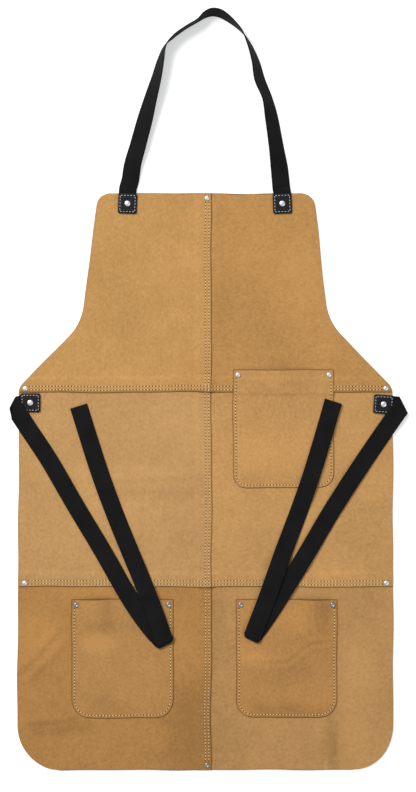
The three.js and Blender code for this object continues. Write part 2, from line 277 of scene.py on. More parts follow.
# The middle shade of each piece and its own turn of the patterns. under and sewn name the cut edges that lie
# over the piece and the ones along which it is stitched. A spot is x, y, its half width and half height, and
# how much lighter or darker it makes the suede. Most spots are the suede's own uneven tone; the darker spots
# noted below are painted shade along a fold, a crease or a seam.
hides = {
    "bib_left": {
        "shade": (0.528, 0.287, 0.097),
        "turn": 0.4,
        "sewn": ["centre", "waist"],
        "spots": [(-150, 20, 60, 20, 0.1), (-30, 250, 60, 70, 0.08)],
    },
    "bib_right": {
        "shade": (0.489, 0.256, 0.083),
        "turn": 1.9,
        "under": ["centre", "chest_pocket"],
        "sewn": ["waist"],
        "spots": [(150, 150, 40, 70, 0.15), (30, 200, 26, 110, -0.15)],
    },
    "waist_left": {
        "shade": (0.521, 0.292, 0.112),
        "turn": 2.7,
        "under": ["waist"],
        "sewn": ["centre", "skirt"],
        "spots": [(-90, -40, 110, 40, 0.18), (-150, -128, 120, 16, 0.12), (-60, -160, 90, 12, -0.14)],
    },
    "waist_right": {
        "shade": (0.537, 0.292, 0.104),
        "turn": 5.2,
        "under": ["centre", "waist", "chest_pocket"],
        "sewn": ["skirt"],
        "spots": [(42, -200, 40, 60, 0.16), (255, -150, 40, 20, 0.14)],
    },
    "skirt_left": {
        "shade": (0.429, 0.216, 0.067),
        "turn": 4.1,
        "under": ["skirt", "skirt_pocket_left"],
        "sewn": ["centre"],
        "spots": [
            # (-14, -545) is painted shade beside the centre seam and (-232, -530) painted shade along the
            # fold near the hem
            (-14, -545, 50, 120, -0.34), (-262, -385, 50, 46, 0.3), (-165, -316, 90, 16, 0.3),
            (-34, -420, 26, 56, 0.22), (-232, -530, 60, 14, -0.3), (-250, -480, 50, 26, 0.12),
        ],
    },
    "skirt_right": {
        "shade": (0.473, 0.257, 0.093),
        "turn": 0.9,
        "under": ["centre", "skirt", "skirt_pocket_right"],
        "spots": [
            # (14, -360) is painted shade beside the centre seam and (201, -560) painted shade in the crease
            # near the hem
            (14, -360, 20, 80, -0.26), (240, -500, 30, 110, 0.3), (110, -318, 120, 12, 0.2),
            (201, -560, 9, 60, -0.4), (30, -560, 60, 60, -0.14),
        ],
    },
    "chest_pocket": {
        "shade": (0.523, 0.279, 0.098),
        "turn": 3.3,
        "sewn": ["chest_pocket"],
        "spots": [(100, -100, 70, 34, 0.18), (124, 60, 80, 30, -0.08)],
    },
    "skirt_pocket_left": {
        "shade": (0.450, 0.233, 0.077),
        "turn": 2.2,
        "sewn": ["skirt_pocket_left"],
        "spots": [(-170, -397, 28, 17, 0.6), (-150, -372, 34, 14, -0.22), (-150, -497, 34, 14, -0.22)],
    },
    "skirt_pocket_right": {
        "shade": (0.466, 0.235, 0.076),
        "turn": 5.9,
        "sewn": ["skirt_pocket_right"],
        "spots": [
            (146, -360, 42, 26, 0.3), (72, -418, 34, 14, 0.26), (140, -508, 76, 16, -0.32),
            (186, -352, 22, 24, -0.2), (130, -452, 60, 16, -0.14),
        ],
    },
}


# How far a place on the pattern lies beyond a cut edge, in metres. It is below nought inside the edge.
def beyondEdge(graph, place, edge, withMouth):
    x = graph.add("ShaderNodeSeparateXYZ", None, {0: place}, 0)
    y = graph.add("ShaderNodeSeparateXYZ", None, {0: place}, 1)
    if edge == "centre":
        return x - lapHalf * mm
    if edge in ("waist", "skirt"):
        return leather[edge + "Seam"] * mm - y
    low, high = boxOf(edge)
    corner = pockets[edge]["corner"]
    pastMouth = 60  # the shape runs on beyond the mouth, whose corners are square
    middle = ((low[0] + high[0]) / 2 * mm, (low[1] + high[1] + pastMouth) / 2 * mm, 0)
    inner = (((high[0] - low[0]) / 2 - corner) * mm, ((high[1] - low[1] + pastMouth) / 2 - corner) * mm, 0)
    aside = graph.vector("ABSOLUTE", graph.vector("SUBTRACT", place, middle))
    aside = graph.vector("MAXIMUM", graph.vector("SUBTRACT", aside, inner), (0, 0, 0))
    around = graph.vector("LENGTH", aside, out="Value") - corner * mm
    return graph.largest(around, y - high[1] * mm) if withMouth else around


# 1 up to the first distance and nothing past the second
def band(graph, distance, facts):
    return (1 - graph.between(distance, facts[0] * mm, facts[1] * mm)) * facts[2]


def suedeMaterial(name, look):
    material, graph = newMaterial("suede_" + name)
    at = graph.add("ShaderNodeTexCoord", None, None, "Object")
    pattern = graph.add("ShaderNodeUVMap", {"uv_map": "pattern"})
    moved = {"Vector": at, "Location": (look["turn"], 2 * look["turn"], 0), "Rotation": (0, 0, look["turn"])}
    place = graph.add("ShaderNodeMapping", None, moved)
    stretched = graph.add("ShaderNodeMapping", None, {"Vector": place, "Scale": (1, 0.34, 1)})
    layers = {}
    tone = 0.5
    for key, where, detail, roughness in (
        ("clouds", place, 3, 0.5),
        ("blotches", place, 4, 0.6),
        ("mottle", place, 4, 0.65),
        ("fibres", stretched, 3, 0.6),
        ("nap", place, 3, 0.7),
    ):
        every, share = suede[key]
        layers[key] = graph.noise(where, every, detail, roughness)
        tone = (layers[key] - 0.5) * (share * 1.6) + tone
    # Spots lighten or darken the suede: mostly its own uneven tone, and at some darker spots painted shade
    # along a fold, a crease or a seam
    for x, y, halfWide, halfHigh, share in look.get("spots", []):
        away = graph.vector("SUBTRACT", pattern, (x * mm, y * mm, 0))
        away = graph.vector("DIVIDE", away, (halfWide * mm, halfHigh * mm, 1))
        away = graph.vector("LENGTH", away, out="Value") + (layers["blotches"] - 0.5) * 0.8
        tone = tone + (1 - graph.between(away, 0.2, 1.5)) * share
    dark = tint(look["shade"], suede["dark"])
    light = tint(look["shade"], suede["light"])
    colour = graph.mix(tone, dark, light)
    # Painted shade: a shadow beside each covering edge, a band along each row of stitches, and the darkened
    # cut edge, which is partly the edge's own tone
    shadow = 0
    for edge in look.get("under", []):
        line = band(graph, beyondEdge(graph, pattern, edge, True), suede["paintedEdgeShadow"])
        shadow = graph.largest(line, shadow)
    for edge in look.get("sewn", []):
        beyond = beyondEdge(graph, pattern, edge, False)
        for row in seamRows if edge not in pockets else [pocketSewing["inset"]]:
            shadow = graph.largest(band(graph, graph.size(beyond + row * mm), suede["paintedRowShade"]), shadow)
    edge = graph.add("ShaderNodeAttribute", {"attribute_name": "edge"}, None, "Fac")
    shadow = graph.largest(edge * suede["edgeToneAndShade"], shadow)
    red, green, blue = look["shade"]
    colour = graph.mix(shadow, colour, (red * 0.3, green * 0.22, blue * 0.14, 1))
    creases = graph.noise(place, 26, 3, 0.5, noise_type="RIDGED_MULTIFRACTAL")
    height = layers["mottle"] * 0.5 + layers["nap"] * 0.35 + layers["fibres"] * 0.3 + creases * 0.1
    values = {
        "graph": graph,
        "Base Color": colour,
        "Roughness": suede["roughness"] + (layers["nap"] - 0.5) * 0.12,
        "Specular IOR Level": 0.1,
        "Sheen Weight": 0.05,
        "Sheen Roughness": 0.5,
    }
    shaded(values, (height, suede["relief"], 0.6))
    return material


def blackLeatherMaterial():
    material, graph = newMaterial("black_leather")
    at = graph.add("ShaderNodeTexCoord", None, None, "Object")
    pebbles = graph.add("ShaderNodeTexVoronoi", {"feature": "SMOOTH_F1"}, {"Vector": at, "Scale": 900})
    scuffs = graph.noise(at, 240, 4, 0.6)
    worn = graph.between(scuffs, 0.5, 0.75)
    edge = graph.add("ShaderNodeAttribute", {"attribute_name": "edge"}, None, "Fac")
    colour = graph.mix(worn * 0.35 + edge * 0.25, (0.0045, 0.0047, 0.0058, 1), (0.016, 0.0168, 0.019, 1))
    values = {
        "graph": graph,
        "Base Color": colour,
        "Roughness": 0.55 + worn * 0.2,
        "Specular IOR Level": 0.25,
    }
    shaded(values, (pebbles * 0.6 + scuffs * 0.4, 0.0003, 0.6))
    return material


# Woven strap: the pattern follows the cloth map, whose first number runs along it and second across it
weave = {
    "ribEvery": 2.3,
    "pickEvery": 0.9,
    "shade": (0.004, 0.004, 0.0041, 1),
    # the lighter end of the colour, reached partly by the painted highlight on raised ribs and picks and
    # partly by random yarn tone
    "worn": (0.0115, 0.011, 0.0113, 1),
}


def webbingMaterial():
    material, graph = newMaterial("webbing")
    cloth = graph.add("ShaderNodeUVMap", {"uv_map": "cloth"})
    along = graph.add("ShaderNodeSeparateXYZ", None, {0: cloth}, 0)
    across = graph.add("ShaderNodeSeparateXYZ", None, {0: cloth}, 1)
    ribs = across * (math.tau / (weave["ribEvery"] * mm))
    ribs = graph.add("ShaderNodeMath", {"operation": "SINE"}, {0: ribs})
    picks = along * (math.tau / (weave["pickEvery"] * mm)) + ribs * 0.8
    picks = graph.add("ShaderNodeMath", {"operation": "SINE"}, {0: picks})
    yarn = graph.noise(cloth, 1400, 2)
    patches = graph.noise(cloth, 30, 3)
    # The face is lighter on its raised ribs and picks, a painted highlight on the weave's relief, and it also
    # changes at random with the yarn and in broad patches
    face = ribs * 0.22 + picks * 0.14 + (yarn - 0.5) * 0.9 + (patches - 0.5) * 1.1
    colour = graph.mix(face + 0.45, weave["shade"], weave["worn"])
    values = {
        "graph": graph,
        "Base Color": colour,
        "Roughness": 0.82 + (yarn - 0.5) * 0.2,
        "Specular IOR Level": 0.12,
        "Sheen Weight": 0.01,
    }
    shaded(values, (ribs * 0.35 + picks * 0.3 + yarn * 0.35, 0.0003, 0.6))
    return material


def threadMaterial(name, shade):
    material, graph = newMaterial(name)
    at = graph.add("ShaderNodeTexCoord", None, None, "Object")
    twist = graph.noise(at, 2600, 2)
    runs = graph.noise(at, 60, 2)
    colour = graph.mix(twist * 0.7 + runs * 0.6 - 0.15, tint(shade, 0.72), tint(shade, 1.2))
    values = {"graph": graph, "Base Color": colour, "Roughness": 0.7, "Specular IOR Level": 0.3}
    shaded(values, (twist, 0.0002, 0.5))
    return material


# Dark beads at the needle holes: painted shade of the holes, mottled between a darker and a lighter brown
def needleHoleMaterial(name, dark, light):
    material, graph = newMaterial(name)
    at = graph.add("ShaderNodeTexCoord", None, None, "Object")
    holeShadeMottle = graph.noise(at, 900, 2)
    colour = graph.mix(holeShadeMottle, dark, light)
    shaded({"graph": graph, "Base Color": colour, "Roughness": 0.95})
    return material


def nickelMaterial(name, dull, bright, roughness):
    material, graph = newMaterial(name)
    at = graph.add("ShaderNodeTexCoord", None, None, "Object")
    brushed = graph.noise(at, 1200, 3, 0.6)
    stains = graph.noise(at, 150, 3)
    colour = graph.mix(stains, dull, bright)
    values = {"graph": graph, "Base Color": colour, "Metallic": 1, "Roughness": roughness + stains * 0.2}
    shaded(values, (brushed, 0.00006, 0.35))
    return material


def floorMaterial():
    material, graph = newMaterial("floor")
    at = graph.add("ShaderNodeTexCoord", None, None, "Object")
    grain = graph.noise(at, 60, 2)
    colour = graph.mix(grain, tint(studio["floorShade"], 0.995), studio["floorShade"])
    values = {
        "graph": graph,
        "Base Color": colour,
        "Roughness": 0.9,
        "Specular IOR Level": 0.1,
        "Emission Color": (1, 1, 1, 1),
        "Emission Strength": studio["floorGlow"],
    }
    shaded(values)
    return material


# ---- How the leather lies ----

leather = {
    "thickness": 1.4,
    "gap": 0.3,
    "lap": 18,
    "rampClear": 1,
    "rampRun": 7,
    "waistSeam": 0,
    "skirtSeam": -308,
    "edgeRound": 0.35,
    "lineEvery": 3.4,
}
step = leather["thickness"] + leather["gap"]
lapHalf = leather["lap"] / 2
pocketSeat = {
    "bulge": 9,
    "bulgeDepth": 95,
    "slack": 0.9,
    "slackEvery": 58,
    "crease": 0.35,
    "creaseEvery": 90,
}
settling = {
    "swell": 1.5,  # how far the leather lifts off the table in its broad waves
    "swellSize": 135,
    "buckle": 0.45,
    "buckleSize": 46,
    "drift": 1.5,  # how far a cut edge or a seam strays from a straight line
    "driftSize": 120,
    "stillRadius": 30,  # around what is riveted or folded
}
# Wrinkles in the leather: the line that each runs along, its half width and how high its sides stand
wrinkles = [
    ([(62, -426), (99, -431), (131, -428), (154, -410), (170, -401), (197, -398)], 6, 1.2),
    ([(-222, -376), (-256, -415), (-294, -454)], 10, 1.9),
    ([(-240, -341), (-228, -340), (-213, -347)], 3.6, 0.8),
    ([(-247, -355), (-232, -352), (-214, -361)], 3.6, 0.8),
    ([(-244, -371), (-228, -366), (-214, -374)], 3.6, 0.7),
    ([(-286, -531), (-246, -528), (-206, -522)], 7, 1.3),
    ([(198, -505), (192, -550), (188, -600)], 9, 1.4),
    ([(236, -179), (268, -176), (300, -172)], 5, 0.9),
    ([(216, -242), (248, -236), (280, -226)], 5, 0.7),
    ([(-190, -149), (-90, -144), (-20, -143)], 9, 0.8),
    ([(-60, -480), (-40, -530), (-44, -590)], 12, 0.9),
]
seamRows = [3.6, 9.0]  # from a lap's cut edge to its two rows of stitches


def smooth(share):
    share = np.clip(share, 0, 1)
    return share * share * (3 - 2 * share)


def fall(beyond):
    return 1 - smooth((beyond - leather["rampClear"]) / leather["rampRun"])


def centreLap(x):
    return fall(np.abs(x) - lapHalf)


def seamLap(y, seam):
    return np.where(y < seam, 0, fall(y - seam - leather["lap"]))


def hump(offset, half):
    return (1 + np.cos(np.pi * np.minimum(1, np.abs(offset) / half))) / 2


# A smooth wandering from -1 to 1, the same each run
def ripple(x, y, size, start):
    total = 0
    for turn, share in ((0.3, 1.0), (1.35, 1.27), (2.2, 0.81), (2.9, 1.61)):
        angle = turn + start
        along = x * math.cos(angle) + y * math.sin(angle)
        total = total + np.sin(along * math.tau / (size * share) + 7 * turn + 3 * start)
    return total / 4


rivetNames = sorted(name[10:] for name in frame["nodes"] if name.startswith("rivet_cap_"))
stillPlaces = [middleOf("rivet_cap_" + name)[:2] for name in rivetNames]
stillPlaces += [place[:2] for name, place in jointAt.items() if name != "neck_strap_lift"]


def loosening(x, y):
    share = 1
    for place in stillPlaces:
        away = ((x - place[0]) ** 2 + (y - place[1]) ** 2) / settling["stillRadius"] ** 2
        share = share * (1 - np.exp(-away))
    return share


# How far places lie from a line, and how much of the line's wrinkle they still feel past its ends
def awayFromLine(x, y, line):
    nearest = np.full(x.shape, 1e9)
    for (ax, ay), (bx, by) in zip(line, line[1:]):
        long = (bx - ax) ** 2 + (by - ay) ** 2
        share = np.clip(((x - ax) * (bx - ax) + (y - ay) * (by - ay)) / long, 0, 1)
        nearest = np.minimum(nearest, np.hypot(x - ax - share * (bx - ax), y - ay - share * (by - ay)))
    middle = np.mean(line, axis=0)
    reach = max(math.hypot(x - middle[0], y - middle[1]) for x, y in line)
    fade = 1 - smooth((np.hypot(x - middle[0], y - middle[1]) / reach - 0.6) / 0.5)
    return nearest, fade


def wrinkled(x, y):
    lift = 0
    for line, halfWide, high in wrinkles:
        away, fade = awayFromLine(x, y, line)
        share = (away / halfWide) ** 2
        lift = lift + high * fade * share * np.exp(1 - share)
    return lift


# Where a place on the flat pattern comes to lie: it strays a little sideways and lifts a little
def settle(points):
    x, y = points[:, 0], points[:, 1]
    loose = loosening(x, y)
    lift = settling["swell"] * (0.5 + 0.5 * ripple(x, y, settling["swellSize"], 0.7))
    lift = lift + settling["buckle"] * (0.5 + 0.5 * ripple(x, y, settling["buckleSize"], 2.1))
    lift = lift + wrinkled(x, y)
    aside = settling["drift"] * ripple(x, y, settling["driftSize"], 1.1)
    along = settling["drift"] * ripple(x, y, settling["driftSize"], 4.3)
    return points + np.stack([aside, along, lift], axis=1) * np.reshape(loose, (-1, 1))


# ---- Meshes ----

def newPiece(name, points, faces, material, smoothShade=True):
    mesh = bpy.data.meshes.new(name)
    mesh.from_pydata((np.asarray(points) * mm).tolist(), [], faces)
    mesh.polygons.foreach_set("use_smooth", [smoothShade] * len(mesh.polygons))
    if material:
        mesh.materials.append(material)
    mesh.update()
    piece = bpy.data.objects.new(name, mesh)
    bpy.context.scene.collection.objects.link(piece)
    return piece


def treeOf(pieces):
    points, faces = [], []
    for piece in pieces:
        start = len(points)
        points += [vertex.co / mm for vertex in piece.data.vertices]
        faces += [[start + i for i in face.vertices] for face in piece.data.polygons]
    return BVHTree.FromPolygons(points, faces)


def topAt(tree, x, y, otherwise=0.0):
    hit = tree.ray_cast(Vector((x, y, 100)), Vector((0, 0, -1)))[0]
    return hit.z if hit else otherwise


# A closed sheet on a grid of places, with its edges rounded over. under and over are the heights of its
# two faces at every place, in rows.
def sheetPiece(name, x, y, under, over, material, settled=True):
    rows, columns = x.shape
    count = rows * columns
    index = np.arange(count).reshape(rows, columns)
    rim = np.concatenate([index[0, :-1], index[:-1, -1], index[-1, :0:-1], index[:0:-1, 0]])
    flatPlaces = np.stack([x.ravel(), y.ravel()], axis=1)
    ring = flatPlaces[rim]
    along = np.roll(ring, -1, axis=0) - np.roll(ring, 1, axis=0)
    inward = np.stack([-along[:, 1], along[:, 0]], axis=1)
    inward /= np.linalg.norm(inward, axis=1, keepdims=True)
    counterClockwise = np.sum(np.cross(ring, np.roll(ring, -1, axis=0))) > 0
    inward *= 1 if counterClockwise else -1
    rounding = leather["edgeRound"]
    inner = flatPlaces.copy()
    inner[rim] += inward * rounding
    top = np.column_stack([inner, over.ravel()])
    bottom = np.column_stack([inner, under.ravel()])
    loops = []
    for heights, way, angles in ((over, -1, (30, 62, 90)), (under, 1, (90, 62, 30))):
        for angle in angles:
            back = rounding * (1 - math.sin(math.radians(angle)))
            drop = rounding * (1 - math.cos(math.radians(angle)))
            loops.append(np.column_stack([ring + inward * back, heights.ravel()[rim] + way * drop]))
    points = np.concatenate([top, bottom, *loops])
    flatPattern = points[:, :2] * mm
    if settled:
        points = settle(points)
    quads = np.stack([index[:-1, :-1], index[:-1, 1:], index[1:, 1:], index[1:, :-1]], axis=-1).reshape(-1, 4)
    rings = [rim, *[2 * count + len(rim) * i + np.arange(len(rim)) for i in range(len(loops))], rim + count]
    sides = []
    for upper, lower in zip(rings, rings[1:]):
        sides.append(np.stack([upper, lower, np.roll(lower, -1), np.roll(upper, -1)], axis=1))
    sides = np.concatenate(sides)
    if counterClockwise:
        faces = np.concatenate([quads, quads[:, ::-1] + count, sides])
    else:
        faces = np.concatenate([quads[:, ::-1], quads + count, sides[:, ::-1]])
    piece = newPiece(name, points, faces.tolist(), material)
    edge = np.ones(len(points))
    near = rimMarks(x.shape)
    edge[:count] = near
    edge[count:2 * count] = near
    attribute = piece.data.attributes.new("edge", "FLOAT", "POINT")
    attribute.data.foreach_set("value", edge.astype(np.float32))
    pattern = piece.data.uv_layers.new(name="pattern")
    corners = np.empty(len(piece.data.loops), np.int32)
    piece.data.loops.foreach_get("vertex_index", corners)
    pattern.data.foreach_set("uv", flatPattern[corners].ravel().astype(np.float32))
    return piece


# 1 on the outermost line of places, 0 inside it
def rimMarks(shape):
    near = np.zeros(shape)
    near[[0, -1], :] = 1
    near[:, [0, -1]] = 1
    return near.ravel()


def spacedLines(start, end, every, extra=(), least=0.9):
    count = max(1, round(abs(end - start) / every))
    wanted = sorted([*np.linspace(start, end, count + 1), *[y for y in extra if start < y < end]])
    kept = [wanted[0]]
    for line in wanted[1:-1]:
        close = line - kept[-1] < least or wanted[-1] - line < least
        if close and line in extra and len(kept) > 1:
            kept[-1] = line
        elif not close:
            kept.append(line)
    return np.array([*kept, wanted[-1]])


# Half of the apron's outline, as corners with their radii
cut = {
    "corners": [(171.5, 315, 22), (194.5, 112, 86), (296, 7, 24), (298, -599, 70)],
    "arcSteps": 14,
}


def halfOutline():
    path = [(0, cut["corners"][0][1]), *[corner[:2] for corner in cut["corners"]], (0, cut["corners"][-1][1])]
    points = [np.array(path[0], float)]
    for i, (x, y, radius) in enumerate(cut["corners"]):
        here = np.array([x, y], float)
        before = np.array(path[i]) - here
        after = np.array(path[i + 2]) - here
        before = before / np.linalg.norm(before)
        after = after / np.linalg.norm(after)
        half = math.acos(before @ after) / 2
        bisector = (before + after) / np.linalg.norm(before + after)
        centre = here + bisector * radius / math.sin(half)
        start = here + before * radius / math.tan(half) - centre
        end = here + after * radius / math.tan(half) - centre
        turn = math.atan2(start[0] * end[1] - start[1] * end[0], start @ end)
        for share in np.linspace(0, 1, cut["arcSteps"]):
            cos, sin = math.cos(turn * share), math.sin(turn * share)
            points.append(centre + [start[0] * cos - start[1] * sin, start[0] * sin + start[1] * cos])
    return np.array(points)


outlineHalf = halfOutline()


def outlineAt(y):
    return np.interp(-y, -outlineHalf[:, 1], outlineHalf[:, 0])


def rowGroove(distance):
    return 0.4 * np.exp(-((distance / 1.15) ** 2))


# name, lowest and highest line, the seam on its lower edge
panels = [
    ("bib_left", 0, 315, 0),
    ("bib_right", 0, 315, 0),
    ("waist_left", -308, 18, -308),
    ("waist_right", -308, 18, -308),
    ("skirt_left", -599, -290, None),
    ("skirt_right", -599, -290, None),
]


def panelPiece(name, low, high, seam, material):
    left = name.endswith("left")
    sewn = []
    for edge in [] if seam is None else [seam]:
        sewn += [edge + row + off for row in seamRows for off in (-1.1, 0, 1.1)]
        sewn += [edge + 1.2, edge + 2.2, edge + 6.2, edge + 12]
        sewn += [edge + leather["lap"] + share * 1.6 for share in range(6)]
    arcs = [y for y in outlineHalf[:, 1] if low < y < high]
    lines = spacedLines(low, high, leather["lineEvery"], [*sewn, *arcs])
    inner = [9, 7.9, 6.5, 5.4, 4.3, 3.3, 2.3, 1.3, 0.2, -1]
    inner += [-2.1, -3.6, -6, -8.5, -10.5, -12.5, -14.5, -16.5, -19]
    columns = []
    for y in lines:
        reach = outlineAt(y)
        outer = np.linspace(reach - 3, 19, 82)[:-1]
        columns.append([reach, reach - 1.3, *outer, *[-x for x in inner[::-1]]])
    far = np.array(columns)
    x = -far if left else far
    y = np.repeat(lines[:, None], x.shape[1], axis=1)
    under = np.zeros(x.shape) if seam is None else seamLap(y, seam) * (1 + centreLap(x))
    under = step * (under + (centreLap(x) if left else 0))
    over = under + leather["thickness"]
    if seam is not None:
        for row in seamRows:
            over = over - rowGroove(y - seam - row)
    if left:
        for row in seamRows:
            over = over - rowGroove(x - lapHalf + row)
    return sheetPiece(name, x, y, under, over, material)


pockets = {
    "chest_pocket": {"corner": 20, "bulgeAt": 0, "bulgeHalf": 60},
    "skirt_pocket_left": {"corner": 28, "bulgeAt": -42, "bulgeHalf": 36},
    "skirt_pocket_right": {"corner": 28, "bulgeAt": 42, "bulgeHalf": 36},
}
pocketSewing = {"inset": 4.0, "lineEvery": 2.3, "belowMouth": 14}
underFold = {"flatTo": 22, "looseFrom": 44}


# 0 where an unfolded tail comes down on a pocket, so that the leather leaves it room, and 1 away from there
def roomUnderFold(x, y):
    folds = (jointAt["left_tail_unfold"], jointAt["right_tail_unfold"])
    nearest = np.minimum(*(np.hypot(x - fold[0], y - fold[1]) for fold in folds))
    return smooth((nearest - underFold["flatTo"]) / (underFold["looseFrom"] - underFold["flatTo"]))


# How far a place lies inside a pocket's stitched sides and foot
def insidePocket(x, y, low, high, corner):
    across = (high[0] - low[0]) / 2 - np.abs(x - (low[0] + high[0]) / 2)
    upward = y - low[1]
    nearCorner = np.hypot(np.maximum(0, corner - across), np.maximum(0, corner - upward))
    straight = np.minimum(across, upward)
    return np.where((across < corner) & (upward < corner), corner - nearCorner, straight)


def pocketPiece(name, look, material):
    low, high = boxOf(name)
    corner = look["corner"]
    arc = [low[1] + corner * (1 - math.cos(angle)) for angle in np.linspace(0, math.pi / 2, 14)]
    seam = [leather["lap"] + share * 1.6 for share in range(6)] + [-share * 1.6 for share in range(6)]
    lines = spacedLines(low[1], high[1], pocketSewing["lineEvery"], [*arc, *seam, high[1] - 1.2])
    middle = (low[0] + high[0]) / 2
    columns = []
    for y in lines:
        drop = max(0, low[1] + corner - y)
        half = (high[0] - low[0]) / 2 - corner + math.sqrt(max(0, corner ** 2 - drop ** 2))
        inner = np.linspace(-half + 2.6, half - 2.6, 68)
        columns.append([-half, -half + 1.2, *inner, half - 1.2, half])
    x = middle + np.array(columns)
    y = np.repeat(lines[:, None], x.shape[1], axis=1)
    across = hump(x - middle - look["bulgeAt"], look["bulgeHalf"])
    down = hump(high[1] - y, pocketSeat["bulgeDepth"])
    cover = np.where(y < 0, fall(-y), seamLap(y, 0))
    loose = smooth((insidePocket(x, y, low, high, corner) - 7) / 12)
    loose *= roomUnderFold(x, y)
    wavy = ripple(x, y, pocketSeat["slackEvery"], look["bulgeAt"] / 10)
    slack = pocketSeat["slack"] * (0.5 + 0.5 * wavy) * loose
    creased = ripple(x, y, pocketSeat["creaseEvery"], 1.7 + look["bulgeAt"] / 9)
    crease = pocketSeat["crease"] * hump(creased, 0.16) * loose
    under = step * (1 + cover) + pocketSeat["bulge"] * across * down + slack + crease
    over = under + leather["thickness"]
    over = over - rowGroove(insidePocket(x, y, low, high, corner) - pocketSewing["inset"])
    return sheetPiece(name, x, y, under, over, material)


# ---- Stitches ----

seamStitch = {
    "pitch": 5.1,
    "size": (3.4, 1.6, 0.95),
    "sink": -0.05,
    "slant": 12,  # degrees
    "hole": (2.0, 2.1, 0.5),
}
patchStitch = {"pitch": 4.7, "size": (3.3, 1.1, 0.7), "sink": 0.0, "slant": 6, "hole": (1.1, 1.1, 0.3)}


def newTree(name, inputs):
    tree = bpy.data.node_groups.new(name, "GeometryNodeTree")
    tree.interface.new_socket(name="Geometry", in_out="INPUT", socket_type="NodeSocketGeometry")
    for label, kind in inputs.items():
        tree.interface.new_socket(name=label, in_out="INPUT", socket_type="NodeSocket" + kind)
    tree.interface.new_socket(name="Geometry", in_out="OUTPUT", socket_type="NodeSocketGeometry")
    graph = Graph(tree)
    source = tree.nodes.new("NodeGroupInput")
    given = {socket.name: Wire(graph, socket) for socket in source.outputs if socket.name}
    return tree, graph, given


# Beads along lines of sewing: the threads themselves, and with a half step's start the needle holes between
# them, dark beads painted with the shade that lies in a hole
def sewingTree():
    inputs = {
        "Pitch": "Float", "Start": "Float", "Bead Size": "Vector", "Sink": "Float", "Slant": "Float",
        "Sides": "Int", "Rings": "Int", "Seed": "Int", "Material": "Material",
    }
    tree, graph, given = newTree("sewing", inputs)
    lines = graph.add("GeometryNodeMeshToCurve", None, {"Mesh": given["Geometry"]})
    end = graph.add("GeometryNodeSplineLength") - given["Start"]
    trimmed = graph.add("GeometryNodeTrimCurve", {"mode": "LENGTH"}, {0: lines, 4: given["Start"], 5: end})
    spaced = {"Curve": trimmed, "Length": given["Pitch"]}
    even = graph.add("GeometryNodeResampleCurve", {"mode": "LENGTH"}, spaced)
    tangent = graph.add("GeometryNodeInputTangent")
    facing = {"axis": "X", "pivot_axis": "Z"}
    flatTurn = graph.add("FunctionNodeAlignRotationToVector", facing, {"Vector": tangent})
    tilted = {"Rotation": flatTurn, "Vector": tangent}
    turn = graph.add("FunctionNodeAlignRotationToVector", {"axis": "X", "pivot_axis": "AUTO"}, tilted)
    uneven = {2: -0.06, 3: 0.06, "Seed": given["Seed"]}
    wander = graph.add("FunctionNodeRandomValue", {"data_type": "FLOAT"}, uneven, 1)
    slanted = graph.add("ShaderNodeCombineXYZ", None, {2: given["Slant"] + wander})
    lean = graph.add("FunctionNodeEulerToRotation", None, {0: slanted})
    turned = graph.add("FunctionNodeRotateRotation", {"rotation_space": "LOCAL"}, {0: turn, 1: lean})
    bead = {"Segments": given["Sides"], "Rings": given["Rings"], "Radius": 0.5}
    ball = graph.add("GeometryNodeMeshUVSphere", None, bead)
    level = graph.add("ShaderNodeCombineXYZ", None, {2: given["Sink"] * -1})
    shaped = {"Geometry": ball, "Translation": level, "Scale": given["Bead Size"]}
    placed = graph.add("GeometryNodeTransform", None, shaped)
    sizes = {2: 0.9, 3: 1.06, "Seed": given["Seed"]}
    grow = graph.add("FunctionNodeRandomValue", {"data_type": "FLOAT"}, sizes, 1)
    copies = {"Points": even, "Instance": placed, "Rotation": turned, "Scale": grow}
    beads = graph.add("GeometryNodeInstanceOnPoints", None, copies)
    solid = graph.add("GeometryNodeRealizeInstances", None, {0: beads})
    rounded = graph.add("GeometryNodeSetShadeSmooth", None, {0: solid})
    painted = graph.add("GeometryNodeSetMaterial", None, {"Geometry": rounded, "Material": given["Material"]})
    graph.add("NodeGroupOutput", None, {"Geometry": painted})
    return tree


# Runs a tree on a piece and gives the plain mesh that comes out, as a piece of its own
def grown(name, source, tree, inputs):
    modifier = source.modifiers.new("grow", "NODES")
    modifier.node_group = tree
    for item in tree.interface.items_tree:
        if item.in_out == "INPUT" and item.name in inputs:
            modifier[item.identifier] = inputs[item.name]
    graph = bpy.context.evaluated_depsgraph_get()
    graph.update()
    made = bpy.data.meshes.new_from_object(source.evaluated_get(graph), depsgraph=graph)
    source.modifiers.remove(modifier)
    made.name = name
    piece = bpy.data.objects.new(name, made)
    bpy.context.scene.collection.objects.link(piece)
    return piece


def lineObject(lines):
    points, edges = [], []
    for line in lines:
        start = len(points)
        points += list(line)
        edges += [(start + i, start + i + 1) for i in range(len(line) - 1)]
    mesh = bpy.data.meshes.new("sewing_lines")
    mesh.from_pydata((np.array(points) * mm).tolist(), edges, [])
    guide = bpy.data.objects.new("sewing_lines", mesh)
    bpy.context.scene.collection.objects.link(guide)
    return guide


def straightLine(start, end, every=2.0):
    start, end = np.array(start, float), np.array(end, float)
    count = max(2, round(np.linalg.norm(end - start) / every))
    return start + (end - start) * np.linspace(0, 1, count + 1)[:, None]


# Rows drawn on the flat pattern are settled as the leather is, then set on its surface
def onSurface(row, tree, settled=True):
    flatRow = np.column_stack([row, np.zeros(len(row))])
    places = settle(flatRow) if settled else flatRow
    heights = [topAt(tree, x, y) for x, y in places[:, :2]]
    return np.column_stack([places[:, :2], heights])


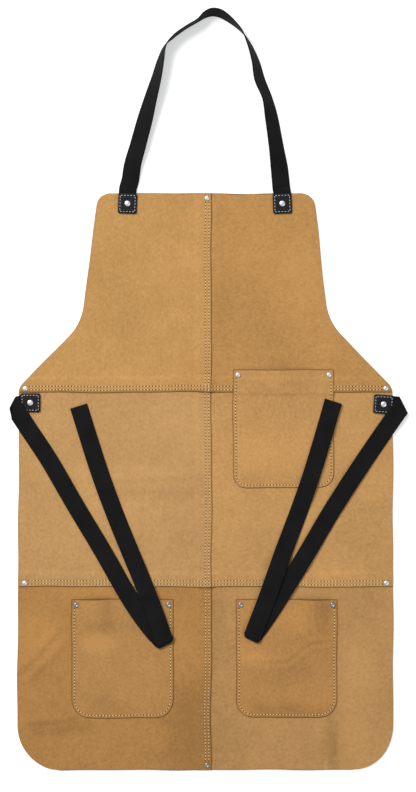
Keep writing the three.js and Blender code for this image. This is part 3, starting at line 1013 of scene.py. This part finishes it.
def sew(name, rows, stitch, tree, thread, hole, seed):
    guide = lineObject(rows)
    common = {"Pitch": stitch["pitch"] * mm, "Seed": seed}
    threadInputs = {
        **common,
        "Start": stitch["pitch"] * mm / 2,
        "Bead Size": [size * mm for size in stitch["size"]],
        "Sink": stitch["sink"] * mm,
        "Slant": math.radians(stitch["slant"]),
        "Sides": 7,
        "Rings": 6,
        "Material": thread,
    }
    holeInputs = {
        **common,
        "Start": 0.0,
        "Bead Size": [size * mm for size in stitch["hole"]],
        "Sink": 0.0,
        "Slant": 0.0,
        "Sides": 7,
        "Rings": 4,
        "Material": hole,
    }
    threads = grown(name + "_stitches", guide, tree, threadInputs)
    holes = grown(name + "_needle_holes", guide, tree, holeInputs)
    bpy.data.objects.remove(guide)
    for piece in (threads, holes):
        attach(piece, "apron")
    return threads, holes


def seamRowsFlat():
    out = outlineAt(np.array([0.0, leather["skirtSeam"]])) - 17
    fromEnds = 15
    top = cadHighOf("bib_left") - fromEnds
    foot = boxOf("skirt_left")[0][1] + fromEnds
    centre = [straightLine((lapHalf - row, top), (lapHalf - row, foot)) for row in seamRows]
    across = []
    for seam, reach in zip((leather["waistSeam"], leather["skirtSeam"]), out):
        across.append([straightLine((-reach, seam + row), (reach, seam + row)) for row in seamRows])
    return centre, across[0], across[1]


def cadHighOf(node):
    return boxOf(node)[1][1]


def pocketRow(name, look):
    low, high = boxOf(name)
    inset, radius = pocketSewing["inset"], look["corner"] - pocketSewing["inset"]
    left, right, foot = low[0] + inset, high[0] - inset, low[1] + inset
    top = high[1] - pocketSewing["belowMouth"]
    parts = [straightLine((left, top), (left, foot + radius))]
    turn = np.linspace(0, math.pi / 2, 14)[:, None]
    parts.append(np.hstack([left + radius - radius * np.cos(turn), foot + radius - radius * np.sin(turn)]))
    parts.append(straightLine((left + radius, foot), (right - radius, foot)))
    parts.append(np.hstack([right - radius + radius * np.sin(turn), foot + radius - radius * np.cos(turn)]))
    parts.append(straightLine((right, foot + radius), (right, top)))
    return np.concatenate([part[:-1] for part in parts] + [[(right, top)]])


# ---- Rivets ----

rivetLook = {"capHeight": 1.7, "capRim": 0.4, "sides": 28, "rings": 7}


# A turned shape of radius 1 at its widest; heights stay in millimetres
def turnedPiece(name, profile, closed):
    sides = rivetLook["sides"]
    angles = np.arange(sides) * math.tau / sides
    points = [(r * math.cos(a), r * math.sin(a), z) for r, z in profile for a in angles]
    faces = []
    for row in range(len(profile) - (0 if closed else 1)):
        low, high = row * sides, (row + 1) % len(profile) * sides
        faces += [(low + i, low + (i + 1) % sides, high + (i + 1) % sides, high + i) for i in range(sides)]
    if not closed:
        last = (len(profile) - 1) * sides
        points += [(0, 0, profile[0][1]), (0, 0, profile[-1][1])]
        centre = len(points)
        faces += [(centre - 2, (i + 1) % sides, i) for i in range(sides)]
        faces += [(centre - 1, last + i, last + (i + 1) % sides) for i in range(sides)]
    return newPiece(name, points, faces, None)


def rivetTree():
    inputs = {"Shape": "Object", "Seed": "Int", "Material": "Material"}
    tree, graph, given = newTree("rivets", inputs)
    shape = graph.add("GeometryNodeObjectInfo", None, {"Object": given["Shape"]}, "Geometry")
    size = graph.add("GeometryNodeInputNamedAttribute", {"data_type": "FLOAT"}, {"Name": "size"})
    scale = graph.add("ShaderNodeCombineXYZ", None, {0: size, 1: size, 2: 1.0})
    anyTurn = {2: 0.0, 3: math.tau, "Seed": given["Seed"]}
    spin = graph.add("FunctionNodeRandomValue", {"data_type": "FLOAT"}, anyTurn, 1)
    spin = graph.add("ShaderNodeCombineXYZ", None, {2: spin})
    turn = graph.add("FunctionNodeEulerToRotation", None, {0: spin})
    copies = {"Points": given["Geometry"], "Instance": shape, "Rotation": turn, "Scale": scale}
    rivets = graph.add("GeometryNodeInstanceOnPoints", None, copies)
    solid = graph.add("GeometryNodeRealizeInstances", None, {0: rivets})
    painted = graph.add("GeometryNodeSetMaterial", None, {"Geometry": solid, "Material": given["Material"]})
    graph.add("NodeGroupOutput", None, {"Geometry": painted})
    return tree


def rivetPoints(places, sizes):
    mesh = bpy.data.meshes.new("rivet_places")
    mesh.from_pydata((np.array(places) * mm).tolist(), [], [])
    attribute = mesh.attributes.new("size", "FLOAT", "POINT")
    attribute.data.foreach_set("value", np.array(sizes, np.float32))
    guide = bpy.data.objects.new("rivet_places", mesh)
    bpy.context.scene.collection.objects.link(guide)
    return guide


def addRivets(tree, nickel, nickelInShade):
    high, rim, rings = rivetLook["capHeight"], rivetLook["capRim"], rivetLook["rings"]
    dome = [(0.96, 0), (1, 0.12), (1, rim)]
    for i in range(1, rings):
        angle = i / rings * math.pi / 2
        dome.append((math.cos(angle) ** 0.9, rim + (high - rim) * math.sin(angle)))
    hollow = [
        (0.96, 0), (1, 0.12), (1, rim), (0.94, 1.1), (0.82, 1.45), (0.66, 1.6),
        (0.52, 1.5), (0.42, 1.05), (0.34, 0.8), (0.14, 0.76),
    ]
    flatRing = [(0.48, 0), (0.97, 0), (1, 0.08), (1, 0.45), (0.9, 0.6), (0.55, 0.6), (0.48, 0.5)]
    hollowNames = [name for name in rivetNames if name.startswith("skirt_pocket") or name == "hem"]
    domedNames = [name for name in rivetNames if name not in hollowNames]
    for label, part, names, profile, closed, metal in (
        ("rivet_caps", "cap", domedNames, dome, False, nickel),
        ("hollow_rivet_caps", "cap", hollowNames, hollow, False, nickelInShade),
        ("rivet_burrs", "burr", rivetNames, flatRing, True, nickel),
    ):
        shape = turnedPiece(label + "_shape", profile, closed)
        nodes = [f"rivet_{part}_{name}" for name in names]
        boxes = [boxOf(node) for node in nodes]
        sizes = [(top[0] - low[0]) / 2 for low, top in boxes]
        places = []
        for low, top in boxes:
            middle = (low + top) / 2
            places.append((middle[0], middle[1], top[2] - high if part == "cap" else low[2]))
        guide = rivetPoints(places, sizes)
        piece = grown(label, guide, tree, {"Shape": shape, "Seed": 5, "Material": metal})
        bpy.data.objects.remove(guide)
        bpy.data.objects.remove(shape)
        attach(piece, "apron")
        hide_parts(*nodes)


# ---- Black patches ----

patchLook = {"width": 30, "length": 32, "thickness": 1.2, "inset": 3.2, "corner": 1.6}
patchTurns = {"neck_patch_left": -2, "neck_patch_right": 2, "waist_patch_left": 90, "waist_patch_right": 86}


def turnedPlaces(places, turn, middle):
    angle = math.radians(turn)
    cos, sin = math.cos(angle), math.sin(angle)
    x = places[..., 0] * cos - places[..., 1] * sin + middle[0]
    y = places[..., 0] * sin + places[..., 1] * cos + middle[1]
    return np.stack([x, y], axis=-1)


# Lines across a patch: close together by its edges, and a number of even ones between
def patchLines(half, count):
    ends = [0, 0.8, 1.7, 2.4, 3.2, 4.0, 5.2]
    inner = np.linspace(-half + 7, half - 7, count)
    return np.array([*[-half + end for end in ends], *inner, *[half - end for end in ends[::-1]]])


def patchPiece(name, turn, material):
    low, high = boxOf(name)
    halfX, halfY = patchLook["width"] / 2, patchLook["length"] / 2
    x, y = np.meshgrid(patchLines(halfX, 11), patchLines(halfY, 12))
    shrink = patchLook["corner"] * 0.5
    cornerX = smooth((np.abs(x) - halfX + 3) / 3)
    cornerY = smooth((np.abs(y) - halfY + 3) / 3)
    x = x - np.sign(x) * shrink * cornerX * cornerY
    y = y - np.sign(y) * shrink * cornerX * cornerY
    inside = np.minimum(halfX - np.abs(x), halfY - np.abs(y))
    wave = 0.25 * ripple(x * 4, y * 4, 60, turn / 40)
    droop = 0.75 * (1 - smooth(inside / 2.4))
    groove = 0.28 * np.exp(-(((inside - patchLook["inset"]) / 0.8) ** 2))
    over = high[2] - droop - groove + wave * smooth(inside / 6) * 0.3
    under = np.minimum(over - 0.5, low[2] - droop * 0.7)
    places = turnedPlaces(np.stack([x, y], axis=-1), turn, middleOf(name))
    return sheetPiece(name, places[..., 0], places[..., 1], under, over, material, settled=False)


def patchRow(name, turn):
    halfX = patchLook["width"] / 2 - patchLook["inset"]
    halfY = patchLook["length"] / 2 - patchLook["inset"]
    corners = [(-halfX, halfY), (-halfX, -halfY), (halfX, -halfY), (halfX, halfY), (-halfX, halfY)]
    sides = [straightLine(a, b, 1.0)[:-1] for a, b in zip(corners, corners[1:])]
    ring = np.concatenate([*sides, [corners[-1]]])
    return turnedPlaces(ring, turn, middleOf(name))


# ---- Webbing ----

strap = {"width": 28, "thickness": 1.9, "stationEvery": 4, "clear": 0.3, "turnLength": 36}
# places round a station, across and along the webbing, where it feels what it lies on
bedAcross = (-14, -9, -4, 0, 4, 9, 14)
bedAlong = (-4, 0, 4)
# the section of the webbing, from one rounded selvedge over the face to the other and back under
faceShares = [-0.8, -0.6, -0.4, -0.2, 0, 0.2, 0.4, 0.6, 0.8]


def strapSection():
    half, thick = strap["width"] / 2, strap["thickness"] / 2
    over = [(share * half, thick * (0.93 if abs(share) < 0.7 else 1)) for share in faceShares]
    turn = [(half - 1.2, thick), (half - 0.4, thick * 0.8), (half, thick * 0.3)]
    turn += [(x, -z) for x, z in turn[::-1]]
    under = [(x, -z) for x, z in over[::-1]]
    return np.array([*over, *turn, *under, *[(-x, z) for x, z in turn[::-1]]])


section = strapSection()


# Webbing swept through stations. A station is its middle, the unit vector across, how far the width is
# drawn out by a slanting cut, and the unit vector out of the face.
def strapPiece(name, stations, material):
    count = len(section)
    points, along = [], []
    travelled, last = 0, None
    for middle, across, stretch, rise in stations:
        if last is not None:
            travelled += np.linalg.norm(middle - last)
        last = middle
        along.append(travelled)
        for v, w in section:
            points.append(middle + across * v * stretch + rise * w)
    faces = []
    for row in range(len(stations) - 1):
        low, high = row * count, (row + 1) * count
        faces += [(low + i, low + (i + 1) % count, high + (i + 1) % count, high + i) for i in range(count)]
    lastRow = (len(stations) - 1) * count
    faces.append(tuple(range(count))[::-1])
    faces.append(tuple(lastRow + i for i in range(count)))
    piece = newPiece(name, points, faces, material)
    cloth = piece.data.uv_layers.new(name="cloth")
    spots = [(a * mm, v * mm) for a in along for v, w in section]
    for face in piece.data.polygons:
        for loop in face.loop_indices:
            cloth.data[loop].uv = spots[piece.data.loops[loop].vertex_index]
    first = np.array(piece.data.polygons[0].normal)
    outward = points[0] - stations[0][0]
    if first @ outward < 0:
        piece.data.flip_normals()
    return piece


def catmullRom(points, count):
    points = np.array(points, float)
    padded = np.concatenate([points[:1], points, points[-1:]])
    made = []
    for t in np.linspace(0, len(points) - 1, count):
        i = min(int(t), len(points) - 2)
        a, b, c, d = padded[i:i + 4]
        u = t - i
        square = (2 * a - 5 * b + 4 * c - d) * u * u
        cube = (3 * b - a - 3 * c + d) * u ** 3
        made.append(0.5 * (2 * b + (c - a) * u + square + cube))
    return np.array(made)


# The same line with its points evenly spaced
def evenly(line, every):
    lengths = np.concatenate([[0], np.cumsum(np.linalg.norm(np.diff(line, axis=0), axis=1))])
    count = max(2, round(lengths[-1] / every)) + 1
    at = np.linspace(0, lengths[-1], count)
    return np.stack([np.interp(at, lengths, line[:, i]) for i in range(line.shape[1])], axis=1)


def unit(vector):
    return vector / np.linalg.norm(vector)


def sideways(direction):
    return np.array([direction[1], -direction[0]])


# The webbing's own stiffness: it bridges dips, and its height changes slowly along it
def drape(line, tangents, tree, lift):
    heights = []
    for place, tangent in zip(line, tangents):
        square = sideways(tangent)
        spots = [place + square * v + tangent * u for v in bedAcross for u in bedAlong]
        heights.append(max(topAt(tree, x, y) for x, y in spots))
    heights = np.array(heights) + lift
    wide = np.array([heights[max(0, i - 2):i + 3].max() for i in range(len(heights))])
    for _ in range(2):
        wide = np.convolve(np.pad(wide, 2, mode="edge"), np.ones(5) / 5, mode="valid")
    return np.maximum(heights, wide) + strap["clear"] + strap["thickness"] / 2


# Stations along a line on the leather. Towards a fold line at either end they turn until they lie along it.
def flatStations(line, heights, tangents, folds):
    stations = []
    lengths = np.concatenate([[0], np.cumsum(np.linalg.norm(np.diff(line, axis=0), axis=1))])
    for place, height, tangent, gone in zip(line, heights, tangents, lengths):
        across = sideways(tangent)
        for fold, left in ((folds[0], gone), (folds[1], lengths[-1] - gone)):
            if fold is not None:
                lean = (fold @ tangent) / (fold @ sideways(tangent))
                across = across + tangent * lean * smooth(1 - left / strap["turnLength"])
        stretch = np.linalg.norm(across)
        stations.append((np.array([*place, height]), np.array([*across / stretch, 0]), stretch, up))
    return stations


def tangentsOf(line):
    return np.array([unit(vector) for vector in np.gradient(line, axis=0)])


def bendStations(lower, upper, outward, count=10):
    lowMiddle, across, stretch, rise = lower
    highMiddle = upper[0]
    radius = (highMiddle[2] - lowMiddle[2]) / 2
    across = across * np.sign(across @ lower[1])
    stations = []
    for i in range(count + 1):
        angle = math.pi * i / count
        share = (1 - math.cos(angle)) / 2
        middle = lowMiddle[:2] * (1 - share) + highMiddle[:2] * share
        place = np.array([*middle, lowMiddle[2] + 2 * radius * share])
        place = place + outward * radius * 1.1 * math.sin(angle)
        facing = up * math.cos(angle) - outward * math.sin(angle)
        stations.append((place, across, stretch, facing))
    return stations


# runBow and tailBow say how far the webbing strays from its line at shares of its length, and corners how
# far its two folds are rounded off
ties = {
    "left": {
        "bow": (-148, -180),
        "tip": (-200, -22),
        "runBow": [
            (0, -2), (0.1, -2), (0.22, 0.5), (0.42, -3.5), (0.62, -5), (0.8, -9.5), (0.93, -7), (1, 0),
        ],
        "tailBow": [(0, 0), (0.08, 2.5), (0.25, 3), (0.5, 0), (0.75, -1.5), (1, -1)],
        "lift": 2.4,
        "corners": (8, 7),
    },
    "right": {
        "bow": (156, -171),
        "tip": (202, -14.5),
        "runBow": [(0, 0), (0.15, -2.5), (0.32, -4), (0.47, -3.5), (0.62, 0), (0.88, 2.5), (1, 0)],
        "tailBow": [(0, 0), (0.15, 0), (0.35, -2.5), (0.65, -1.5), (1, 0.5)],
        "lift": 2.0,
        "corners": (2, 5),
    },
}
foldGaps = (1.8, 1.2)  # between the two layers at the first fold and at the second
tieFacts = {"foldRoom": 0.5, "hidden": 15, "easedStations": 9}


# The same line with each place moved sideways by what the bow says there, towards +x where it is positive
def bowed(line, bow):
    lengths = np.concatenate([[0], np.cumsum(np.linalg.norm(np.diff(line, axis=0), axis=1))])
    shares, offsets = zip(*bow)
    fine = np.linspace(0, 1, 120)
    offset = np.interp(fine, shares, offsets)
    for _ in range(3):
        offset[1:-1] = np.convolve(np.pad(offset, 5, mode="edge"), np.ones(11) / 11, mode="valid")[1:-1]
    offset = np.interp(lengths / lengths[-1], fine, offset)
    square = np.array([sideways(tangent) for tangent in tangentsOf(line)])
    square *= np.sign(square[:, :1])
    return line + square * offset[:, None]


# Rounds off the two corners of a fold: near them the webbing is drawn in along its own length. ways are the
# directions in which the lower and the upper layer leave the fold, and heights where they lie.
def softenFold(pieces, pivot, line, outward, ways, heights, half, radius):
    slides = [way / (way @ -outward[:2]) for way in ways]
    for piece in pieces:
        for vertex in piece.data.vertices:
            x, y, z = np.array(vertex.co) / mm
            offset = np.array([x, y]) - pivot[:2]
            share = min(1, max(0, (z - heights[0]) / (heights[1] - heights[0])))
            slide = slides[0] * (1 - share) + slides[1] * share
            out = offset @ outward[:2]
            along = (offset + slide * out) @ line
            nearEnd = min(1, max(0, (abs(along) - half + radius) / radius))
            drawn = radius * (1 - math.sqrt(1 - nearEnd * nearEnd)) * smooth(1 + min(0, out) / (2.6 * radius))
            drawn += max(0, out) * nearEnd ** 2
            vertex.co += Vector((*slide, 0)) * float(drawn) * mm
        piece.data.update()


def addTie(side, look, leatherPieces, material):
    body, tailBody = f"{side}_tie", f"{side}_tail"
    fold, second = jointAt[f"{side}_tie_unfold"], jointAt[f"{side}_tail_unfold"]
    foldLine, secondLine = jointAlong[f"{side}_tie_unfold"][:2], jointAlong[f"{side}_tail_unfold"][:2]
    patch = middleOf(f"waist_patch_{side}")[:2]
    half = strap["thickness"] / 2
    out = unit(fold[:2] - patch)
    down = unit(second[:2] - fold[:2])
    room = tieFacts["foldRoom"]

    endLine = straightLine(patch - out * tieFacts["hidden"], fold[:2] - out * room, strap["stationEvery"])
    endHeights = np.full(len(endLine), fold[2] - foldGaps[0] / 2 - half)
    end = flatStations(endLine, endHeights, tangentsOf(endLine), (None, foldLine))
    endPiece = strapPiece(f"tie_{side}_end", end, material)

    runLine = straightLine(fold[:2] + down * room, second[:2] - down * room, strap["stationEvery"])
    runLine = bowed(runLine, look["runBow"])
    bed = treeOf(leatherPieces)
    share = np.linspace(0, 1, len(runLine))
    lift = look["lift"] * np.sin(math.pi * share) ** 2 * (0.6 + 0.4 * np.cos(share * 19))
    runHeights = drape(runLine, tangentsOf(runLine), bed, lift)
    first = fold[2] + foldGaps[0] / 2 + half
    last = second[2] - foldGaps[1] / 2 - half
    runHeights = easeEnds(runHeights, first, last)
    run = flatStations(runLine, runHeights, tangentsOf(runLine), (foldLine, secondLine))
    runPiece = strapPiece(f"tie_{side}_run", run, material)

    tailLine = catmullRom([second[:2], look["bow"], look["tip"]], 200)
    tailLine = bowed(evenly(tailLine, strap["stationEvery"]), look["tailBow"])
    startWay = unit(tailLine[1] - tailLine[0])
    tailLine[0] = tailLine[0] + startWay * room
    tailBed = treeOf([*leatherPieces, runPiece])
    share = np.linspace(0, 1, len(tailLine))
    lift = look["lift"] * np.sin(math.pi * share) ** 2 * (0.5 + 0.5 * np.cos(share * 14 + 2))
    tailHeights = drape(tailLine, tangentsOf(tailLine), tailBed, lift)
    tailHeights = easeEnds(tailHeights, second[2] + foldGaps[1] / 2 + half, None)
    tail = flatStations(tailLine, tailHeights, tangentsOf(tailLine), (secondLine, None))
    tailPiece = strapPiece(f"tie_{side}_tail", tail, material)

    bends = []
    for name, lower, upper, line, pivot, pair, pieces, ways, radius in (
        (f"tie_{side}_first_bend", end[-1], run[0], foldLine, fold, ("apron", body),
         (endPiece, runPiece), (-out, down), look["corners"][0]),
        (f"tie_{side}_second_bend", run[-1], tail[0], secondLine, second, (body, tailBody),
         (runPiece, tailPiece), (-down, startWay), look["corners"][1]),
    ):
        outward = np.array([*sideways(line), 0])
        inner = lower[0][:2] - pivot[:2]
        outward = outward * -np.sign(outward[:2] @ inner)
        bend = strapPiece(name, bendStations(lower, upper, outward), material)
        levels = (lower[0][2], upper[0][2])
        halfFold = strap["width"] / 2 * lower[2]
        softenFold([bend, *pieces], pivot, line, outward, ways, levels, halfFold, radius)
        low, high = lower[0][2] + half, upper[0][2] - half
        pivot[0] * mm
        pivot[1] * mm
        low * mm
        pivot[0] * mm
        pivot[1] * mm
        high * mm
        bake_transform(bend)
        bends.append(bend)

    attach(endPiece, "apron")
    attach(runPiece, body)
    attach(tailPiece, tailBody)
    for piece, part, line, near, together in (
        (endPiece, "end", endLine, [f"waist_patch_{side}"], []),
        (runPiece, "run", runLine, [f"waist_{side}"], [bends[0]]),
        (tailPiece, "tail", tailLine, [f"waist_{side}"], [bends[1]]),
    ):
        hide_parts(f"tie_{side}_{part}")
        length = np.linalg.norm(np.diff(line, axis=0), axis=1).sum()


def easeEnds(heights, first, last):
    heights = heights.copy()
    for end, wanted in ((0, first), (-1, last)):
        if wanted is None:
            continue
        count = tieFacts["easedStations"]
        for i in range(count):
            at = i if end == 0 else len(heights) - 1 - i
            share = smooth(i / (count - 1))
            heights[at] = max(wanted * (1 - share) + heights[at] * share, 0)
    return heights


# The neck strap's middle line round from the left patch to the right one: x, distance above the bib's
# top edge, and how far it has rolled onto its edge in degrees
neckRoute = [
    (-123.5, 0, 0), (-122.5, 8, 0), (-119, 21, 2), (-115, 46, 12), (-106.5, 76, 21), (-96.5, 113, 26),
    (-87.5, 146, 40), (-77, 183, 55), (-71.3, 207, 65), (-64, 231, 81), (-49, 247, 90), (-31, 260, 90),
    (-12.5, 271, 91), (0, 280.5, 102), (14, 284.3, 108), (31, 278, 105), (55.5, 256.7, 90), (68.3, 235.5, 76),
    (79, 207, 63), (85.7, 178, 52), (97.5, 149, 54), (104.5, 117, 41), (112.5, 68, 30), (117.2, 36, 10),
    (120, 8, 0), (121.5, 0, 0),
]
neckFacts = {"foldRoom": 0.5, "drop": 26, "bendLength": 12, "hidden": 31, "stations": 190}


def addNeckStrap(material):
    top = cadHighOf("bib_left")
    start = jointAt["neck_strap_lift"][1]
    line = catmullRom([(x, start + above, turn) for x, above, turn in neckRoute], neckFacts["stations"])
    tangents = tangentsOf(line[:, :2])
    half, thick = strap["width"] / 2, strap["thickness"] / 2
    stations = []
    for i, ((x, y, turn), tangent) in enumerate(zip(line, tangents)):
        inward = sideways(tangent)
        if i in (0, len(line) - 1):
            inward = np.array([1.0, 0]) if i == 0 else np.array([-1.0, 0])
        angle = math.radians(turn)
        cos, sin = math.cos(angle), math.sin(angle)
        rest = half * abs(sin) + thick * abs(cos)
        onBib = step * (1 - smooth((y - start) / neckFacts["drop"]))
        across = np.array([inward[0] * cos, inward[1] * cos, sin])
        rise = np.array([-inward[0] * sin, -inward[1] * sin, cos])
        stations.append((np.array([x, y, rest + onBib]), across, 1.0, rise))
    near = [i for i in range(len(line)) if line[i][1] < start + neckFacts["bendLength"]]
    leftCount = sum(1 for i in near if i < len(line) / 2)
    rightCount = len(near) - leftCount
    loop = strapPiece("neck_strap", stations[leftCount - 1:len(stations) - rightCount + 1], material)
    for side, group in (("left", stations[:leftCount]), ("right", stations[len(stations) - rightCount:])):
        bend = strapPiece(f"neck_strap_{side}_bend", group, material)
        x = group[0][0][0] * mm
        y = start * mm
        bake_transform(bend)
    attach(loop, "neck_strap")
    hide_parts("neck_strap")
    length = np.linalg.norm(np.diff(line[:, :2], axis=0), axis=1).sum() * mm
    for side in ("left", "right"):
        x = middleOf(f"neck_patch_{side}")[0]
        hiddenLine = straightLine((x, top - neckFacts["hidden"]), (x, start), strap["stationEvery"])
        heights = np.full(len(hiddenLine), step + thick)
        ends = flatStations(hiddenLine, heights, tangentsOf(hiddenLine), (None, None))
        piece = strapPiece(f"neck_strap_end_{side}", ends, material)
        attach(piece, "apron")
        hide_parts(f"neck_strap_end_{side}")


# ---- Putting it together ----

addCamera()
addStudio(floorMaterial())
print("camera, floor and lights are in place")

leatherPieces = []


def declareLeather(piece, name):
    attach(piece, "apron")
    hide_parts(name)
    leatherPieces.append(piece)


for name, low, high, seam in panels:
    piece = panelPiece(name, low, high, seam, suedeMaterial(name, hides[name]))
    declareLeather(piece, name)
for name, look in pockets.items():
    piece = pocketPiece(name, look, suedeMaterial(name, hides[name]))
    below = ["bib_right", "waist_right"] if name == "chest_pocket" else [name.replace("pocket_", "")]
    declareLeather(piece, name)
print("leather panels and pockets are laid out")

black = blackLeatherMaterial()
patchPieces = []
for name, turn in patchTurns.items():
    piece = patchPiece(name, turn, black)
    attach(piece, "apron")
    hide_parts(name)
    patchPieces.append(piece)

surface = treeOf([*leatherPieces, *patchPieces])
sewing = sewingTree()
hole = needleHoleMaterial("needle_holes", (0.045, 0.017, 0.004, 1), (0.13, 0.056, 0.016, 1))
blackHole = needleHoleMaterial("black_needle_holes", (0.002, 0.002, 0.002, 1), (0.006, 0.006, 0.007, 1))
tan = threadMaterial("tan_thread", (0.86, 0.6, 0.28))
pale = threadMaterial("pale_thread", (0.6, 0.6, 0.62))
centreRows, waistRows, skirtRows = seamRowsFlat()
panelSurface = treeOf(leatherPieces[:6])
sewnSeams = {"centre_seam": centreRows, "waist_seam": waistRows, "skirt_seam": skirtRows}
for seed, (name, rows) in enumerate(sewnSeams.items()):
    sew(name, [onSurface(row, panelSurface) for row in rows], seamStitch, sewing, tan, hole, seed)
for seed, (name, look) in enumerate(pockets.items()):
    sew(name, [onSurface(pocketRow(name, look), surface)], seamStitch, sewing, tan, hole, 10 + seed)
rings = [onSurface(patchRow(name, turn), surface, False) for name, turn in patchTurns.items()]
sew("patches", rings, patchStitch, sewing, pale, blackHole, 20)
print("seams are sewn")

bright = nickelMaterial("nickel", (0.8, 0.81, 0.83, 1), (0.95, 0.955, 0.97, 1), 0.3)
# A darker copy of the nickel for the hollow caps: painted shade standing in for the darker reflections on
# them
dull = nickelMaterial("nickel_in_shade", (0.3, 0.32, 0.34, 1), (0.5, 0.52, 0.55, 1), 0.25)
addRivets(rivetTree(), bright, dull)
print("rivets are set")

cloth = webbingMaterial()
addNeckStrap(cloth)
for side, look in ties.items():
    addTie(side, look, [*leatherPieces, *patchPieces], cloth)
print("neck strap and ties are laid")
